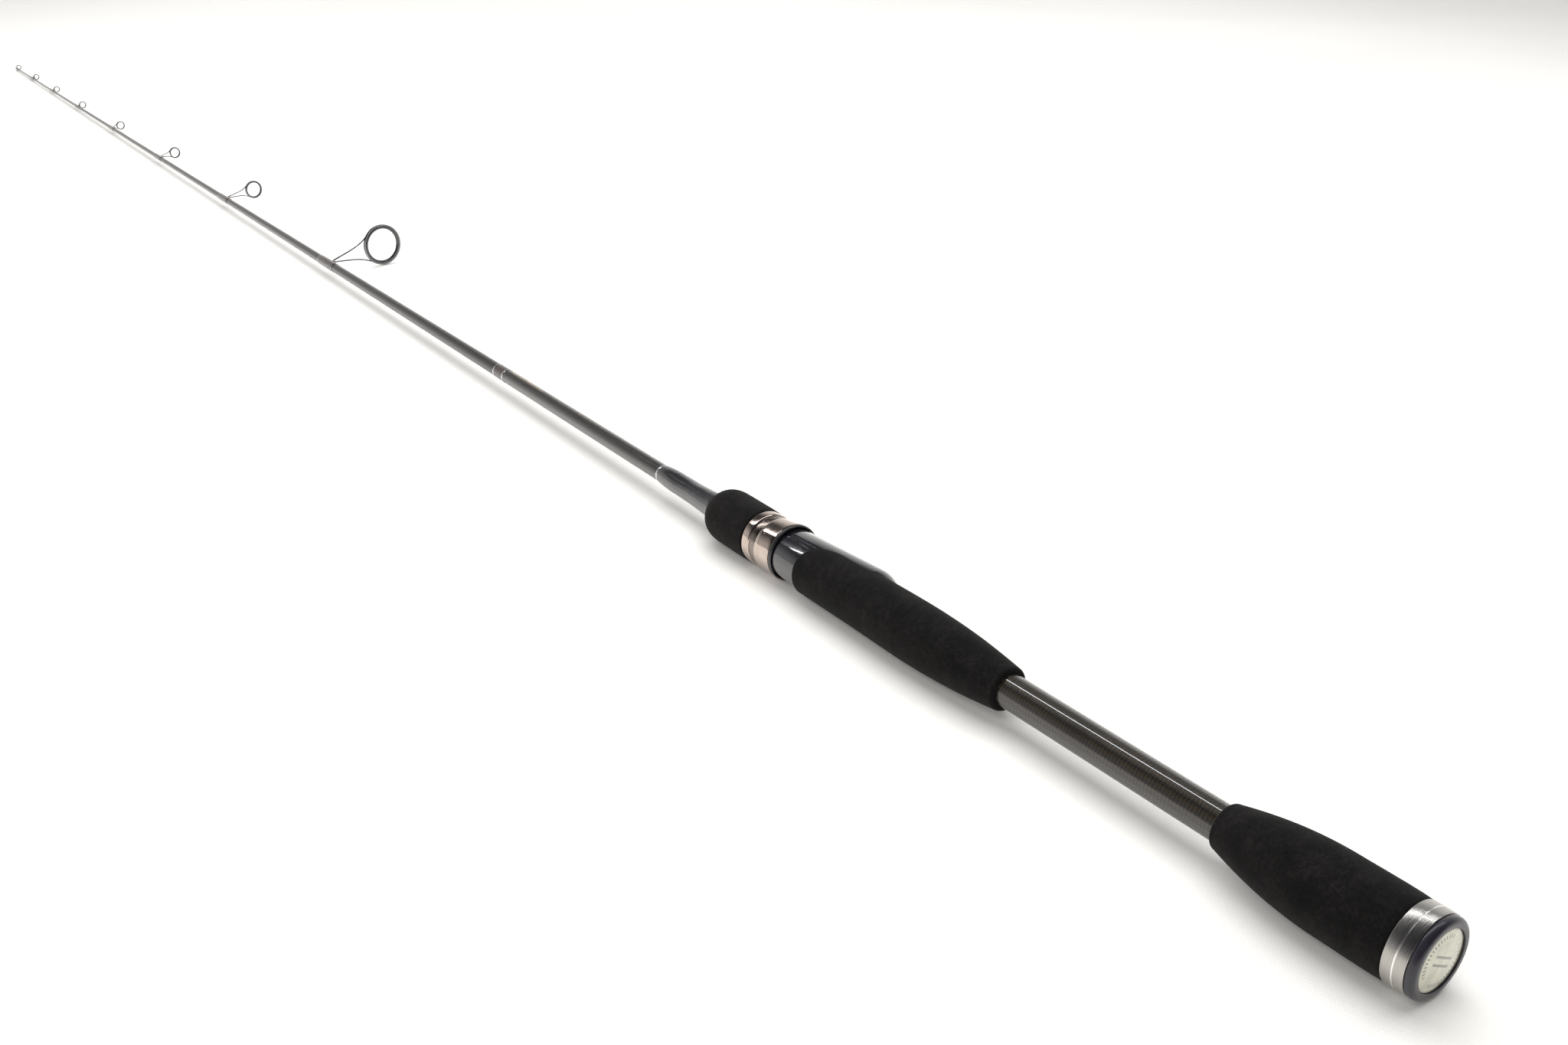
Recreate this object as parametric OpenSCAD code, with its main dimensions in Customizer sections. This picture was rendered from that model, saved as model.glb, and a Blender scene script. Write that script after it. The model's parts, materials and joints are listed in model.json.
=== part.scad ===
// Spinning rod, one piece, with a split grip.
// +X runs from the butt to the tip, along the rod's axis. The guides and the reel foot are on the -Y side,
// because the rod lies on its side, and +Z is up. The origin is the centre of the butt's end face.

/* [Butt] */
// Thickness of the black end cap's rim
cap_rim_t = 3; // [2.6:0.1:3.6]
// Outside diameter of the metal butt ring
butt_ring_d = 28.4; // [27.8:0.2:29]
// Width of the metal butt ring
butt_ring_w = 7.7; // [6.5:0.1:9]
// Diameter of the domed disc in the end cap
disc_d = 21.4; // [19:0.2:22.6]
// Largest diameter of the butt grip
butt_grip_d = 28.8; // [28.4:0.2:30]
// Diameter of the butt grip's neck
butt_neck_d = 17.4; // [17:0.2:18.6]
// Length of the butt grip
butt_grip_len = 68.6; // [65:0.2:80]

/* [Handle tube and rear grip] */
// Outside diameter of the carbon handle tube
tube_d = 13.75; // [13.75:0.05:14]
// Wall thickness of the handle tube
tube_wall = 0.95; // [0.8:0.05:1.1]
// Length of bare tube between the two grips
tube_show = 102.7; // [90:0.1:120]
// Largest diameter of the rear grip
grip_d = 25.7; // [25.6:0.1:26.4]
// Diameter of the rear grip's end, at the tube
grip_neck_d = 18.4; // [17.6:0.2:19.6]
// Length of the rear grip
rear_grip_len = 53; // [48:0.5:60]
// Length of the palm grip, which wraps round the reel seat
palm_grip_len = 71.5; // [71:0.5:74]

/* [Reel seat] */
// Diameter of the seat body
seat_d = 22.4; // [22.3:0.05:22.5]
// Bore of the seat body
seat_bore_d = 13.8; // [13.8:0.05:14.05]
// Height of the reel foot's bed above the rod's axis
bed_h = 7.9; // [7.6:0.1:8]
// Width of the reel foot channel
channel_w = 14.6; // [13.6:0.2:15]
// Height of the rear hood's crown above the rod's axis
rear_hood_h = 16.05; // [15.9:0.05:16.3]
// Length of seat body that shows between the palm grip and the moving hood
seat_show = 16; // [15.8:0.1:16.6]
// Crest diameter of the thread
thread_d = 17.2; // [17:0.1:17.3]
// Pitch of the thread
thread_pitch = 2; // [1.5:0.25:2.5]
// Depth of the thread
thread_depth = 0.7; // [0.5:0.1:0.9]

/* [Moving hood and lock nut] */
// Length of the hood from its mouth to the nut
hood_len = 13; // [13:0.1:13.6]
// Diameter of the hood's metal sleeve, at the nut
hood_d = 25; // [24.9:0.05:25.2]
// Diameter of the hood's mouth
mouth_d = 26.2; // [26.2:0.05:26.5]
// Distance that the mouth is set off towards the reel foot
mouth_offset = 1; // [0.9:0.05:1]
// Width of the nut's metal ring
nut_ring_w = 9.5; // [9:0.1:10.5]
// Diameter of the foregrip
foregrip_d = 26; // [25.6:0.1:27]
// Length of the foregrip
foregrip_len = 34.2; // [34:0.1:36]
// Travel of the hood and nut towards the reel foot
close_travel = 4; // [3:0.5:4]

/* [Blank and wraps] */
// Overall length of the rod
rod_length = 2012; // [2000:1:2020]
// Diameter of the blank at its butt end, inside the handle
blank_butt_d = 10.2; // [10:0.05:10.4]
// Diameter of the blank at the shoulder wrap
blank_shoulder_d = 7.8; // [7.7:0.05:8]
// Diameter of the blank at its knee, where the tip section's taper starts
blank_knee_d = 4.2; // [4:0.05:4.4]
// Diameter of the blank at the tip
blank_tip_d = 1.5; // [1.4:0.05:1.6]
// Length of the long black wrap in front of the seat
seat_wrap_len = 62; // [58:0.2:64]
// Length of the lacquered label section
label_len = 174; // [160:1:190]
// Length of the shoulder wrap
shoulder_len = 10.6; // [8:0.2:14]
// Width of the thin silver trim bands
band_w = 1.2; // [0.8:0.1:1.6]

/* [Guides] */
// Spaces between the line rings, from the stripper guide to the tip
guide_gaps = [244, 202, 176, 151, 125, 109, 95]; // seven spaces, each 80 to 250
// Outside diameters of the ring hoops, from the stripper guide to the tip
hoop_ds = [29.6, 14.7, 10.2, 8.4, 7.4, 6.6, 6.4]; // seven diameters, each 6 to 32
// Heights of the ring centres above the rod's axis, from the stripper guide to the tip
ring_hs = [44.3, 26.5, 16, 9.5, 6.2, 5.7, 5.5]; // seven heights, each 5.5 to 45
// Outside diameter of the tip ring's hoop
tip_hoop_d = 5.7; // [5.5:0.1:6]
// Height of the tip ring's centre above the rod's axis
tip_ring_h = 3.7; // [3.6:0.1:4.2]
// Lean of the line rings towards the tip, in degrees
ring_lean = 8; // [6:1:12]
// Angle at which the frame's legs meet the hoop, from its lowest point
leg_spread = 49; // [45:1:60]

/* [Hidden] */
GUIDES = len(guide_gaps);

ROUND = 96;
ARC_STEPS = 8;
CURVE_STEPS = 14;
BIG = 60;

// Stations along the rod
ring_x = cap_rim_t;
butt_grip_x = ring_x + butt_ring_w;
tube_x = butt_grip_x + butt_grip_len;
rear_grip_x = tube_x + tube_show;
palm_grip_x = rear_grip_x + rear_grip_len;
palm_end_x = palm_grip_x + palm_grip_len;
mouth_x = palm_end_x + seat_show;
nut_x = mouth_x + hood_len;
foregrip_x = nut_x + nut_ring_w;
foregrip_end_x = foregrip_x + foregrip_len;
check_w = 1.2;
slip = 0.1;
foregrip_lip_len = 5;
barrel_end_x = foregrip_end_x - foregrip_lip_len - close_travel - 0.6;
seat_wrap_x = barrel_end_x + 0.4;
band_rear_x = seat_wrap_x + seat_wrap_len;
label_x = band_rear_x + band_w;
band_mid_x = label_x + label_len;
shoulder_x = band_mid_x + band_w;
band_front_x = shoulder_x + shoulder_len;
blank_x = 60;
knee_x = 1250;
tip_end_x = rod_length - 5;

// Butt
cap_spigot_r = 12.4;
disc_depth = 1.6;
disc_gap = 0.15;
disc_flat_r = 2.7;
plug_len = 20;
lip_r = 1.5;
butt_taper_x = 38;
butt_taper_power = 1.85;

// Handle tube
tube_r = tube_d / 2;
tube_bore_r = tube_r - tube_wall;
tube_in_seat = 26;
arbor_len = 20;

// Reel seat
seat_r = seat_d / 2;
seat_bore_r = seat_bore_d / 2;
seat_spigot_r = 9.5;
seat_x = palm_grip_x + 3;
seat_shoulder_x = palm_grip_x + 27;
bed_x = palm_end_x - 19;
pocket_x = bed_x - 16;
roof_h = 12.9;
hump_r = 11.56;
hump_front_x = mouth_x + 0.4;
hump_front_h = 1.45;
rail_h = 8.7;
hump_cap_len = 13.5;
seat_full_end_x = nut_x - close_travel - 2;
thread_r = thread_d / 2;
thread_start_x = seat_full_end_x + 1;
part_line_angle = 101;
part_line_w = 0.5;
part_line_depth = 0.25;
slot_h = 5.4;
slot_x = seat_shoulder_x + 3;
scallop_len = 18.5;
nose_r = 0.9;

// Hood and nut
lip_len = 2.3;
sleeve_wall = 0.4;
lip_wall = 0.7;
flange_t = 1.1;
lip_proud = 0.15;
sleeve_step = 0.3;
bore_step = 0.25;
seat_clear = 0.2;
sleeve_end_x = nut_x - 0.5;
collar_r = 10.3;
ridge_r = 10.9;
ridge_w = 1.5;
collar_len = 4.9;
snap_gap = 0.25;
thread_gap = 0.1;
nut_r = 11.6;
nut_core_len = 22.2;
nut_ring_r = 12.6;
nut_band_r = 12;
nut_band_w = 4.1;
foregrip_bore_r = 9.3;
foregrip_lip_r = 7.3;
foregrip_round_x = 9.5;
check_r = 8.5;

// Guides
ring_xs = [for (i = 0, x = rod_length - 2; i < GUIDES; x = x - guide_gaps[GUIDES - 1 - i], i = i + 1) x];
guide_xs = [for (i = [0:GUIDES - 1]) ring_xs[GUIDES - 1 - i] - guide_gaps[i]];
tip_ring_x = rod_length - 2;
tip_tube_x = tip_end_x - 13;
tip_tube_end_x = tip_end_x + 0.8;
tip_tube_wall = 0.4;
foot_t = 0.5;
wrap_skin = 0.3;
stem_rise = 0.9;
stem_w = 2;
stem_t = 1.2;
stem_lean = 0.1;

function lerp(a, b, t) = a + (b - a) * t;

// Radius of the blank's outside at station x: three straight tapers
function blank_r(x) =
    x < band_front_x ? lerp(blank_butt_d, blank_shoulder_d, (x - blank_x) / (band_front_x - blank_x)) / 2 :
    x < knee_x ? lerp(blank_shoulder_d, blank_knee_d, (x - band_front_x) / (knee_x - band_front_x)) / 2 :
    lerp(blank_knee_d, blank_tip_d, (x - knee_x) / (tip_end_x - knee_x)) / 2;

// Quarter round from angle a0 to a1 about (r, x), in a [radius, station] outline
function arc(r, x, rad_r, rad_x, a0, a1) =
    [for (i = [0:ARC_STEPS]) let(a = lerp(a0, a1, i / ARC_STEPS)) [r + rad_r * cos(a), x + rad_x * sin(a)]];

// Radial thickness of hoop and ring together, and of the hoop alone
function band_of(hoop_d) = 0.14 + 0.1 * hoop_d;
function hoop_wall(hoop_d) = 0.3 + 0.02 * hoop_d;
function hoop_w(hoop_d) = 0.9 + 0.04 * hoop_d;
function leg_r(hoop_d) = 0.27 + 0.009 * hoop_d;
function foot_len(hoop_d) = 8 + 0.1 * hoop_d;
function wrap_tail(hoop_d) = min(15.5, 9 + 0.4 * hoop_d);
function stem_x(i) = guide_xs[i] - stem_lean * (ring_hs[i] - 5);

// Solid of revolution about the rod's axis, from [radius, station] points
module turned(profile) {
    rotate([0, 90, 0])
        rotate_extrude($fn = ROUND)
            polygon(profile);
}

// Tube between two stations
module ring_between(x0, x1, r_in, r_out) {
    turned([[r_in, x0], [r_out, x0], [r_out, x1], [r_in, x1]]);
}

// Sleeve that lies on the blank, with its own thickness at each end
module sleeve_on_blank(x0, x1, t0, t1) {
    turned([
        [blank_r(x0), x0], [blank_r(x0) + t0, x0],
        [blank_r(x1) + t1, x1], [blank_r(x1), x1]
    ]);
}

// Turns what is drawn with the guide side up (+Z) onto the guide side of the rod (-Y)
module guide_side() {
    rotate([90, 0, 0])
        children();
}

// Disc across the rod's axis, h above it on the guide side
module cross_disc(x, r, h, t) {
    translate([x, 0, h])
        rotate([0, 90, 0])
            cylinder(r = r, h = t, $fn = 64);
}

// Solid bar between two points
module bar(p, q, r) {
    hull() {
        translate(p)
            sphere(r = r, $fn = 14);
        translate(q)
            sphere(r = r, $fn = 14);
    }
}

module butt_cap() {
    color([0.05, 0.05, 0.06])
        difference() {
            turned(concat(
                [[0, 0], [disc_d / 2 + 1, 0]],
                arc(butt_ring_d / 2 - 2.2, 1.8, 1.9, 1.8, -90, 0),
                [[butt_ring_d / 2 - 0.3, ring_x], [cap_spigot_r, ring_x]],
                [[cap_spigot_r, butt_grip_x], [0, butt_grip_x]]
            ));
            turned([[0, -1], [disc_d / 2 + disc_gap, -1], [disc_d / 2 + disc_gap, disc_depth], [0, disc_depth]]);
        }
}

module butt_disc() {
    edge_x = 0.7;
    color([0.86, 0.84, 0.72])
        turned(concat(
            [[0, 0]],
            [for (i = [0:ARC_STEPS]) let(t = i / ARC_STEPS)
                [lerp(disc_flat_r, disc_d / 2, t), edge_x * t * t]],
            [[disc_d / 2, disc_depth], [0, disc_depth]]
        ));
}

module butt_ring() {
    groove_w = 0.5;
    groove_depth = 0.25;
    r = butt_ring_d / 2;
    mid = ring_x + butt_ring_w / 2;
    bevel = 0.15;
    color([0.66, 0.66, 0.65])
        turned([
            [cap_spigot_r, ring_x], [r - bevel, ring_x], [r, ring_x + bevel],
            [r, mid - groove_w / 2], [r - groove_depth, mid], [r, mid + groove_w / 2],
            [r, butt_grip_x - bevel], [r - bevel, butt_grip_x], [cap_spigot_r, butt_grip_x]
        ]);
}

// Radius of the butt grip: straight at the back, then curving in to the neck
function butt_grip_r(x) =
    x < butt_taper_x ? butt_grip_d / 2 :
    butt_grip_d / 2 - (butt_grip_d - butt_neck_d) / 2
        * pow((x - butt_taper_x) / (tube_x - lip_r - butt_taper_x), butt_taper_power);

module butt_grip() {
    x1 = tube_x - lip_r;
    color([0.07, 0.07, 0.07])
        turned(concat(
            [[tube_r, butt_grip_x], [butt_ring_d / 2, butt_grip_x], [butt_grip_d / 2, butt_grip_x + 3]],
            [for (i = [0:CURVE_STEPS]) let(x = lerp(butt_taper_x, x1, i / CURVE_STEPS)) [butt_grip_r(x), x]],
            arc(butt_neck_d / 2 - lip_r, x1, lip_r, lip_r, 10, 90),
            [[tube_r, tube_x]]
        ));
}

module butt_plug() {
    color([0.25, 0.25, 0.25])
        ring_between(butt_grip_x, butt_grip_x + plug_len, 0, tube_bore_r);
}

module handle_tube() {
    color([0.16, 0.14, 0.11])
        ring_between(butt_grip_x, seat_x + tube_in_seat, tube_bore_r, tube_r);
}

// Spacer between the blank and a bore round it
module arbor(x0, len, r) {
    color([0.3, 0.28, 0.25])
        turned([[blank_r(x0), x0], [r, x0], [r, x0 + len], [blank_r(x0 + len), x0 + len]]);
}

module tube_arbor_rear() {
    arbor(blank_x + 2, arbor_len, tube_bore_r);
}

module tube_arbor_front() {
    arbor(seat_x - 6, arbor_len, tube_bore_r);
}

module rear_grip() {
    x1 = rear_grip_x + lip_r;
    bulge = (grip_d - grip_neck_d) / 2;
    end_r = grip_neck_d / 2;
    reach = palm_grip_x + 3 - x1;
    color([0.06, 0.06, 0.06])
        turned(concat(
            [[tube_r, rear_grip_x]],
            arc(end_r - lip_r, x1, lip_r, lip_r, -90, -10),
            [for (i = [0:CURVE_STEPS]) let(x = lerp(x1, palm_grip_x, i / CURVE_STEPS))
                [end_r + bulge * (1 - pow((palm_grip_x + 3 - x) / reach, 2)), x]],
            [[tube_r, palm_grip_x]]
        ));
}

// Side view of the palm grip's opening: a slot on the guide side that falls away in a scallop at the front
module palm_opening() {
    drop = grip_d / 2 - 0.4 + slot_h;
    start = palm_end_x - scallop_len;
    translate([0, BIG / 2, 0])
        rotate([90, 0, 0])
            linear_extrude(BIG)
                polygon(concat(
                    [[slot_x - 3, BIG], [slot_x - 1, grip_d / 2 - 3], [slot_x, slot_h + 1.5], [slot_x + 1.5, slot_h]],
                    [for (i = [0:CURVE_STEPS]) let(a = 90 * i / CURVE_STEPS)
                        [start + scallop_len * sin(a), slot_h - drop * (1 - cos(a))]],
                    [[palm_end_x, -BIG / 2], [palm_end_x + 5, -BIG / 2], [palm_end_x + 5, BIG]]
                ));
}

module palm_grip() {
    front_r = grip_d / 2 - 0.4;
    color([0.06, 0.06, 0.06])
        guide_side()
            difference() {
                turned(concat(
                    [[tube_r, palm_grip_x], [grip_d / 2, palm_grip_x], [grip_d / 2 - 0.1, palm_grip_x + 20]],
                    arc(front_r - nose_r, palm_end_x - nose_r, nose_r, nose_r, 0, 90),
                    [[seat_r, palm_end_x], [seat_r, seat_shoulder_x], [seat_spigot_r, seat_shoulder_x]],
                    [[seat_spigot_r, seat_x], [tube_r, seat_x]]
                ));
                palm_opening();
                seat_hump();
            }
}

// Side view of the rear hood: the crown, then cheeks that fall to the bed
module hump_side() {
    crown_x = pocket_x + 1;
    cheek_h = bed_h + 2.4;
    top = rear_hood_h + 1;
    translate([0, BIG / 2, 0])
        rotate([90, 0, 0])
            linear_extrude(BIG)
                polygon(concat(
                    [[seat_shoulder_x - hump_cap_len, 0], [seat_shoulder_x - hump_cap_len, top], [crown_x - 2, top]],
                    [for (i = [0:CURVE_STEPS]) let(t = i / CURVE_STEPS)
                        [lerp(crown_x, bed_x + 2, t), lerp(rear_hood_h, cheek_h, (1 - cos(180 * t)) / 2)]],
                    [[palm_end_x - 6.5, bed_h + 1.1], [palm_end_x - 1, rail_h], [hump_front_x + 1, rail_h]],
                    [[hump_front_x + 1, 0]]
                ));
}

// The rear hood swells out of the seat: a round body on a tilted axis, with an oval cap at the back
module seat_hump() {
    run = hump_front_x - pocket_x - 0.5;
    rise = rear_hood_h - hump_r - hump_front_h;
    len = sqrt(run * run + rise * rise);
    intersection() {
        hump_side();
        translate([hump_front_x, 0, hump_front_h])
            rotate([0, atan2(rise, run) - 90, 0])
                rotate_extrude($fn = ROUND)
                    polygon(concat(
                        [[0, 0], [hump_r, 0]],
                        [for (i = [0:ARC_STEPS]) let(a = 90 * i / ARC_STEPS)
                            [hump_r * cos(a), len + hump_cap_len * sin(a)]]
                    ));
    }
}

// Thread crests and roots, as rings, between two stations
function thread_outline(x0, x1) =
    [for (i = [0:floor((x1 - x0) / thread_pitch) - 1]) let(x = x0 + i * thread_pitch) each [
        [thread_r - thread_depth, x],
        [thread_r - thread_depth, x + thread_pitch * 0.2],
        [thread_r, x + thread_pitch * 0.4],
        [thread_r, x + thread_pitch * 0.8]
    ]];

module seat_body() {
    color([0.04, 0.04, 0.05])
        guide_side()
            difference() {
                union() {
                    turned(concat(
                        [[0, seat_x], [seat_spigot_r, seat_x], [seat_spigot_r, seat_shoulder_x]],
                        [[seat_r, seat_shoulder_x], [seat_r, seat_full_end_x - 0.5]],
                        [[seat_r - 0.5, seat_full_end_x]],
                        thread_outline(seat_full_end_x, barrel_end_x - 1),
                        [[thread_r - thread_depth, barrel_end_x], [0, barrel_end_x]]
                    ));
                    seat_hump();
                }
                rotate([0, 90, 0])
                    cylinder(r = seat_bore_r, h = barrel_end_x + 1, $fn = ROUND);
                translate([pocket_x, -channel_w / 2, bed_h - 0.1])
                    cube([bed_x - pocket_x, channel_w, roof_h - bed_h]);
                translate([bed_x - 0.1, -channel_w / 2, bed_h])
                    cube([hump_front_x - bed_x + 0.5, channel_w, BIG]);
                translate([palm_end_x - 1, -BIG / 2, rail_h - 0.05])
                    cube([hump_front_x - palm_end_x + 1.2, BIG, BIG]);
                translate([hump_front_x, -BIG / 2, bed_h - 0.1])
                    cube([seat_full_end_x - hump_front_x + 0.3, BIG, BIG]);
                for (side = [-1, 1])
                    rotate([side * part_line_angle, 0, 0])
                        translate([palm_end_x - 14, -part_line_w / 2, seat_r - part_line_depth])
                            cube([seat_full_end_x - palm_end_x + 14 - 1, part_line_w, 1]);
            }
}

module seat_arbor() {
    arbor(seat_x + tube_in_seat + 8, arbor_len * 2, seat_bore_r);
}

module barrel_arbor() {
    arbor(barrel_end_x - arbor_len, arbor_len, seat_bore_r);
}

// Round taper whose axis tilts, so that it is set off towards the reel foot at the mouth; it stops at x1
module tilted_taper(r_mouth, r_end, x1) {
    x0 = mouth_x + lip_len;
    dx = sleeve_end_x - x0;
    len = sqrt(dx * dx + mouth_offset * mouth_offset);
    extra = 2;
    slope = (r_mouth - r_end) / len;
    intersection() {
        translate([sleeve_end_x, 0, 0])
            rotate([0, atan2(mouth_offset, dx) - 90, 0])
                translate([0, 0, -extra])
                    cylinder(r1 = r_end - slope * extra, r2 = r_mouth + slope * extra, h = len + 2 * extra,
                        $fn = ROUND);
        translate([x0, -BIG / 2, -BIG / 2])
            cube([x1 - x0, BIG, BIG]);
    }
}

module hood_sleeve() {
    color([0.72, 0.65, 0.58])
        guide_side()
            difference() {
                tilted_taper(mouth_d / 2, hood_d / 2, sleeve_end_x);
                tilted_taper(mouth_d / 2 - sleeve_wall, hood_d / 2 - sleeve_wall, sleeve_end_x);
            }
}

// Dark lining with a rounded lip at the mouth and a collar that the nut snaps over
module hood_insert() {
    flange_x = nut_x - slip * 2 - flange_t;
    collar_end_x = nut_x + collar_len;
    lip_r_out = mouth_d / 2 + lip_proud;
    color([0.13, 0.13, 0.14])
        guide_side()
            difference() {
                union() {
                    translate([0, 0, mouth_offset])
                        turned(concat(
                            [[0, mouth_x]],
                            arc(lip_r_out - lip_len / 2, mouth_x + lip_len / 2, lip_len / 2, lip_len / 2, -90, 90),
                            [[0, mouth_x + lip_len]]
                        ));
                    tilted_taper(mouth_d / 2 - sleeve_wall, hood_d / 2 - sleeve_wall, sleeve_end_x);
                    ring_between(sleeve_end_x, nut_x - slip * 2, 0, hood_d / 2 - sleeve_wall - sleeve_step);
                    ring_between(nut_x - slip * 2, collar_end_x, 0, collar_r);
                    ring_between(collar_end_x - ridge_w, collar_end_x, 0, ridge_r);
                }
                cross_disc(mouth_x - 1, mouth_d / 2 - lip_wall + bore_step, mouth_offset, lip_len + 1.05);
                tilted_taper(mouth_d / 2 - lip_wall, seat_r + seat_clear, flange_x);
                ring_between(mouth_x, collar_end_x + 1, 0, thread_r + thread_gap + 0.2);
            }
}

module nut_core() {
    groove_x = nut_x + collar_len - ridge_w - snap_gap;
    bore_x = nut_x + collar_len + snap_gap;
    end_x = nut_x + nut_core_len;
    color([0.08, 0.08, 0.08])
        turned([
            [collar_r + snap_gap, nut_x], [nut_r, nut_x], [nut_r, end_x],
            [thread_r + thread_gap, end_x], [thread_r + thread_gap, bore_x], [ridge_r + snap_gap, bore_x],
            [ridge_r + snap_gap, groove_x], [collar_r + snap_gap, groove_x]
        ]);
}

// A plain band and a rounded bead in front of it
module nut_ring() {
    round_x = (nut_ring_w - nut_band_w) / 2;
    color([0.72, 0.65, 0.58])
        turned(concat(
            [[nut_r, nut_x], [nut_band_r, nut_x], [nut_band_r, nut_x + nut_band_w]],
            arc(nut_ring_r - 0.9, foregrip_x - round_x, 0.9, round_x, -90, 90),
            [[nut_r, foregrip_x]]
        ));
}

module foregrip() {
    cavity_x = foregrip_end_x - foregrip_lip_len;
    core_end_x = nut_x + nut_core_len;
    r = foregrip_d / 2;
    color([0.07, 0.07, 0.07])
        turned(concat(
            [[nut_r, foregrip_x], [r - 0.4, foregrip_x], [r, foregrip_x + 1]],
            arc(check_r, foregrip_end_x - foregrip_round_x, r - check_r, foregrip_round_x, 0, 90),
            [[foregrip_lip_r, foregrip_end_x], [foregrip_lip_r, cavity_x], [foregrip_bore_r, cavity_x]],
            [[foregrip_bore_r, core_end_x], [nut_r, core_end_x]]
        ));
}

// Thin ring that closes the foregrip's front end and moves with it
module winding_check() {
    color([0.78, 0.78, 0.8])
        turned([
            [foregrip_lip_r, foregrip_end_x], [check_r, foregrip_end_x], [check_r, foregrip_end_x + check_w / 2],
            [check_r - 0.5, foregrip_end_x + check_w], [foregrip_lip_r, foregrip_end_x + check_w]
        ]);
}

// Thickness of the seat wrap: even under the foregrip, then a waist, a swelling and a fall to the trim band
function seat_wrap_t(t) = 0.8 + 1.6 * pow(1 - t, 2.6) + 0.3 * pow(sin(180 * pow(t, 2.6)), 2) - 0.38 * pow(t, 16);

module seat_wrap() {
    x0 = foregrip_end_x + 4;
    x1 = band_rear_x;
    color([0.05, 0.05, 0.07])
        turned(concat(
            [[blank_r(seat_wrap_x), seat_wrap_x], [blank_r(seat_wrap_x) + seat_wrap_t(0), seat_wrap_x]],
            [for (i = [0:CURVE_STEPS]) let(t = i / CURVE_STEPS, x = lerp(x0, x1, t))
                [blank_r(x) + seat_wrap_t(t), x]],
            [[blank_r(x1), x1]]
        ));
}

module band_rear() {
    color([0.8, 0.8, 0.82])
        sleeve_on_blank(band_rear_x, label_x, 0.42, 0.42);
}

module label_section() {
    color([0.06, 0.05, 0.05])
        sleeve_on_blank(label_x, band_mid_x, 0.2, 0.2);
}

module band_mid() {
    color([0.8, 0.8, 0.82])
        sleeve_on_blank(band_mid_x, shoulder_x, 0.36, 0.36);
}

module shoulder_wrap() {
    color([0.16, 0.06, 0.05])
        sleeve_on_blank(shoulder_x, band_front_x, 0.26, 0.08);
}

module band_front() {
    color([0.8, 0.8, 0.82])
        turned([
            [blank_r(band_front_x), band_front_x], [blank_r(band_front_x) + 0.2, band_front_x],
            [blank_r(band_front_x + band_w) + 0.2, band_front_x + band_w],
            [blank_r(band_front_x + band_w), band_front_x + band_w]
        ]);
}

module blank() {
    wall = 0.9;
    bore_end_x = knee_x + 350;
    color([0.2, 0.19, 0.17])
        turned([
            [blank_r(blank_x) - wall, blank_x], [blank_r(blank_x), blank_x],
            [blank_r(band_front_x), band_front_x], [blank_r(knee_x), knee_x], [blank_r(tip_end_x), tip_end_x],
            [0, tip_end_x], [0, bore_end_x], [blank_r(knee_x) - wall, knee_x],
            [blank_r(band_front_x) - wall, band_front_x]
        ]);
}

// Box round a guide's foot, on the guide side of the blank
module foot_box(i) {
    d = hoop_ds[i];
    translate([stem_x(i) - stem_t / 2, -stem_w / 2, 0])
        cube([foot_len(d), stem_w, blank_r(stem_x(i)) + foot_t]);
}

// Stem that rises from the foot to where the frame's legs part
module stem(i) {
    x = stem_x(i);
    difference() {
        translate([x - stem_t / 2, -stem_w / 2, 0])
            cube([stem_t, stem_w, blank_r(x) + foot_t + stem_rise]);
        turned([[0, x - 2], [blank_r(x - 2), x - 2], [blank_r(x + 2), x + 2], [0, x + 2]]);
    }
}

// Foot on the blank, the stem that rises from it, two legs and the hoop
module guide_frame(i) {
    d = hoop_ds[i];
    x = stem_x(i);
    r = d / 2 - hoop_wall(d) / 2;
    centre = [guide_xs[i], 0, ring_hs[i]];
    up = [sin(ring_lean), 0, cos(ring_lean)];
    end_x = x + foot_len(d) - stem_t / 2;
    color([0.4, 0.4, 0.42])
        guide_side() {
            intersection() {
                foot_box(i);
                turned([
                    [blank_r(x - 1), x - 1], [blank_r(x - 1) + foot_t, x - 1],
                    [blank_r(end_x) + foot_t, end_x], [blank_r(end_x), end_x]
                ]);
            }
            stem(i);
            difference() {
                for (side = [-1, 1]) {
                    foot_p = [x, side * 0.35, blank_r(x) + foot_t + stem_rise - 0.3];
                    hoop_p = centre - r * cos(leg_spread) * up + [0, side * r * sin(leg_spread), 0];
                    bend_p = lerp(foot_p, hoop_p, 0.55) - [0, side * 0.07 * r, 0];
                    bar(foot_p, bend_p, leg_r(d));
                    bar(bend_p, hoop_p, leg_r(d));
                }
                ring_seat(centre, d);
            }
            hoop(centre, d);
        }
}

// Room for the line ring inside a hoop
module ring_seat(centre, d) {
    translate(centre)
        rotate([0, 90 + ring_lean, 0])
            cylinder(r = d / 2 - hoop_wall(d), h = 3, center = true, $fn = 64);
}

// Hoop of a frame, which leans towards the tip
module hoop(centre, d) {
    translate(centre)
        rotate([0, 90 + ring_lean, 0])
            rotate_extrude($fn = 64)
                translate([d / 2 - hoop_wall(d), -hoop_w(d) / 2])
                    square([hoop_wall(d), hoop_w(d)]);
}

// Line ring with a straight land in the middle of its bore and a flare on each side
module line_ring(x, h, d) {
    outer = d / 2 - hoop_wall(d);
    inner = d / 2 - band_of(d);
    w = hoop_w(d) + 0.3;
    flare = (outer - inner) * 0.45;
    land = w * 0.25;
    color([0.13, 0.13, 0.15])
        guide_side()
            translate([x, 0, h])
                rotate([0, 90 + ring_lean, 0])
                    rotate_extrude($fn = 64)
                        polygon([
                            [inner, -land], [inner + flare, -w / 2], [outer, -w / 2],
                            [outer, w / 2], [inner + flare, w / 2], [inner, land]
                        ]);
}

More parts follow.
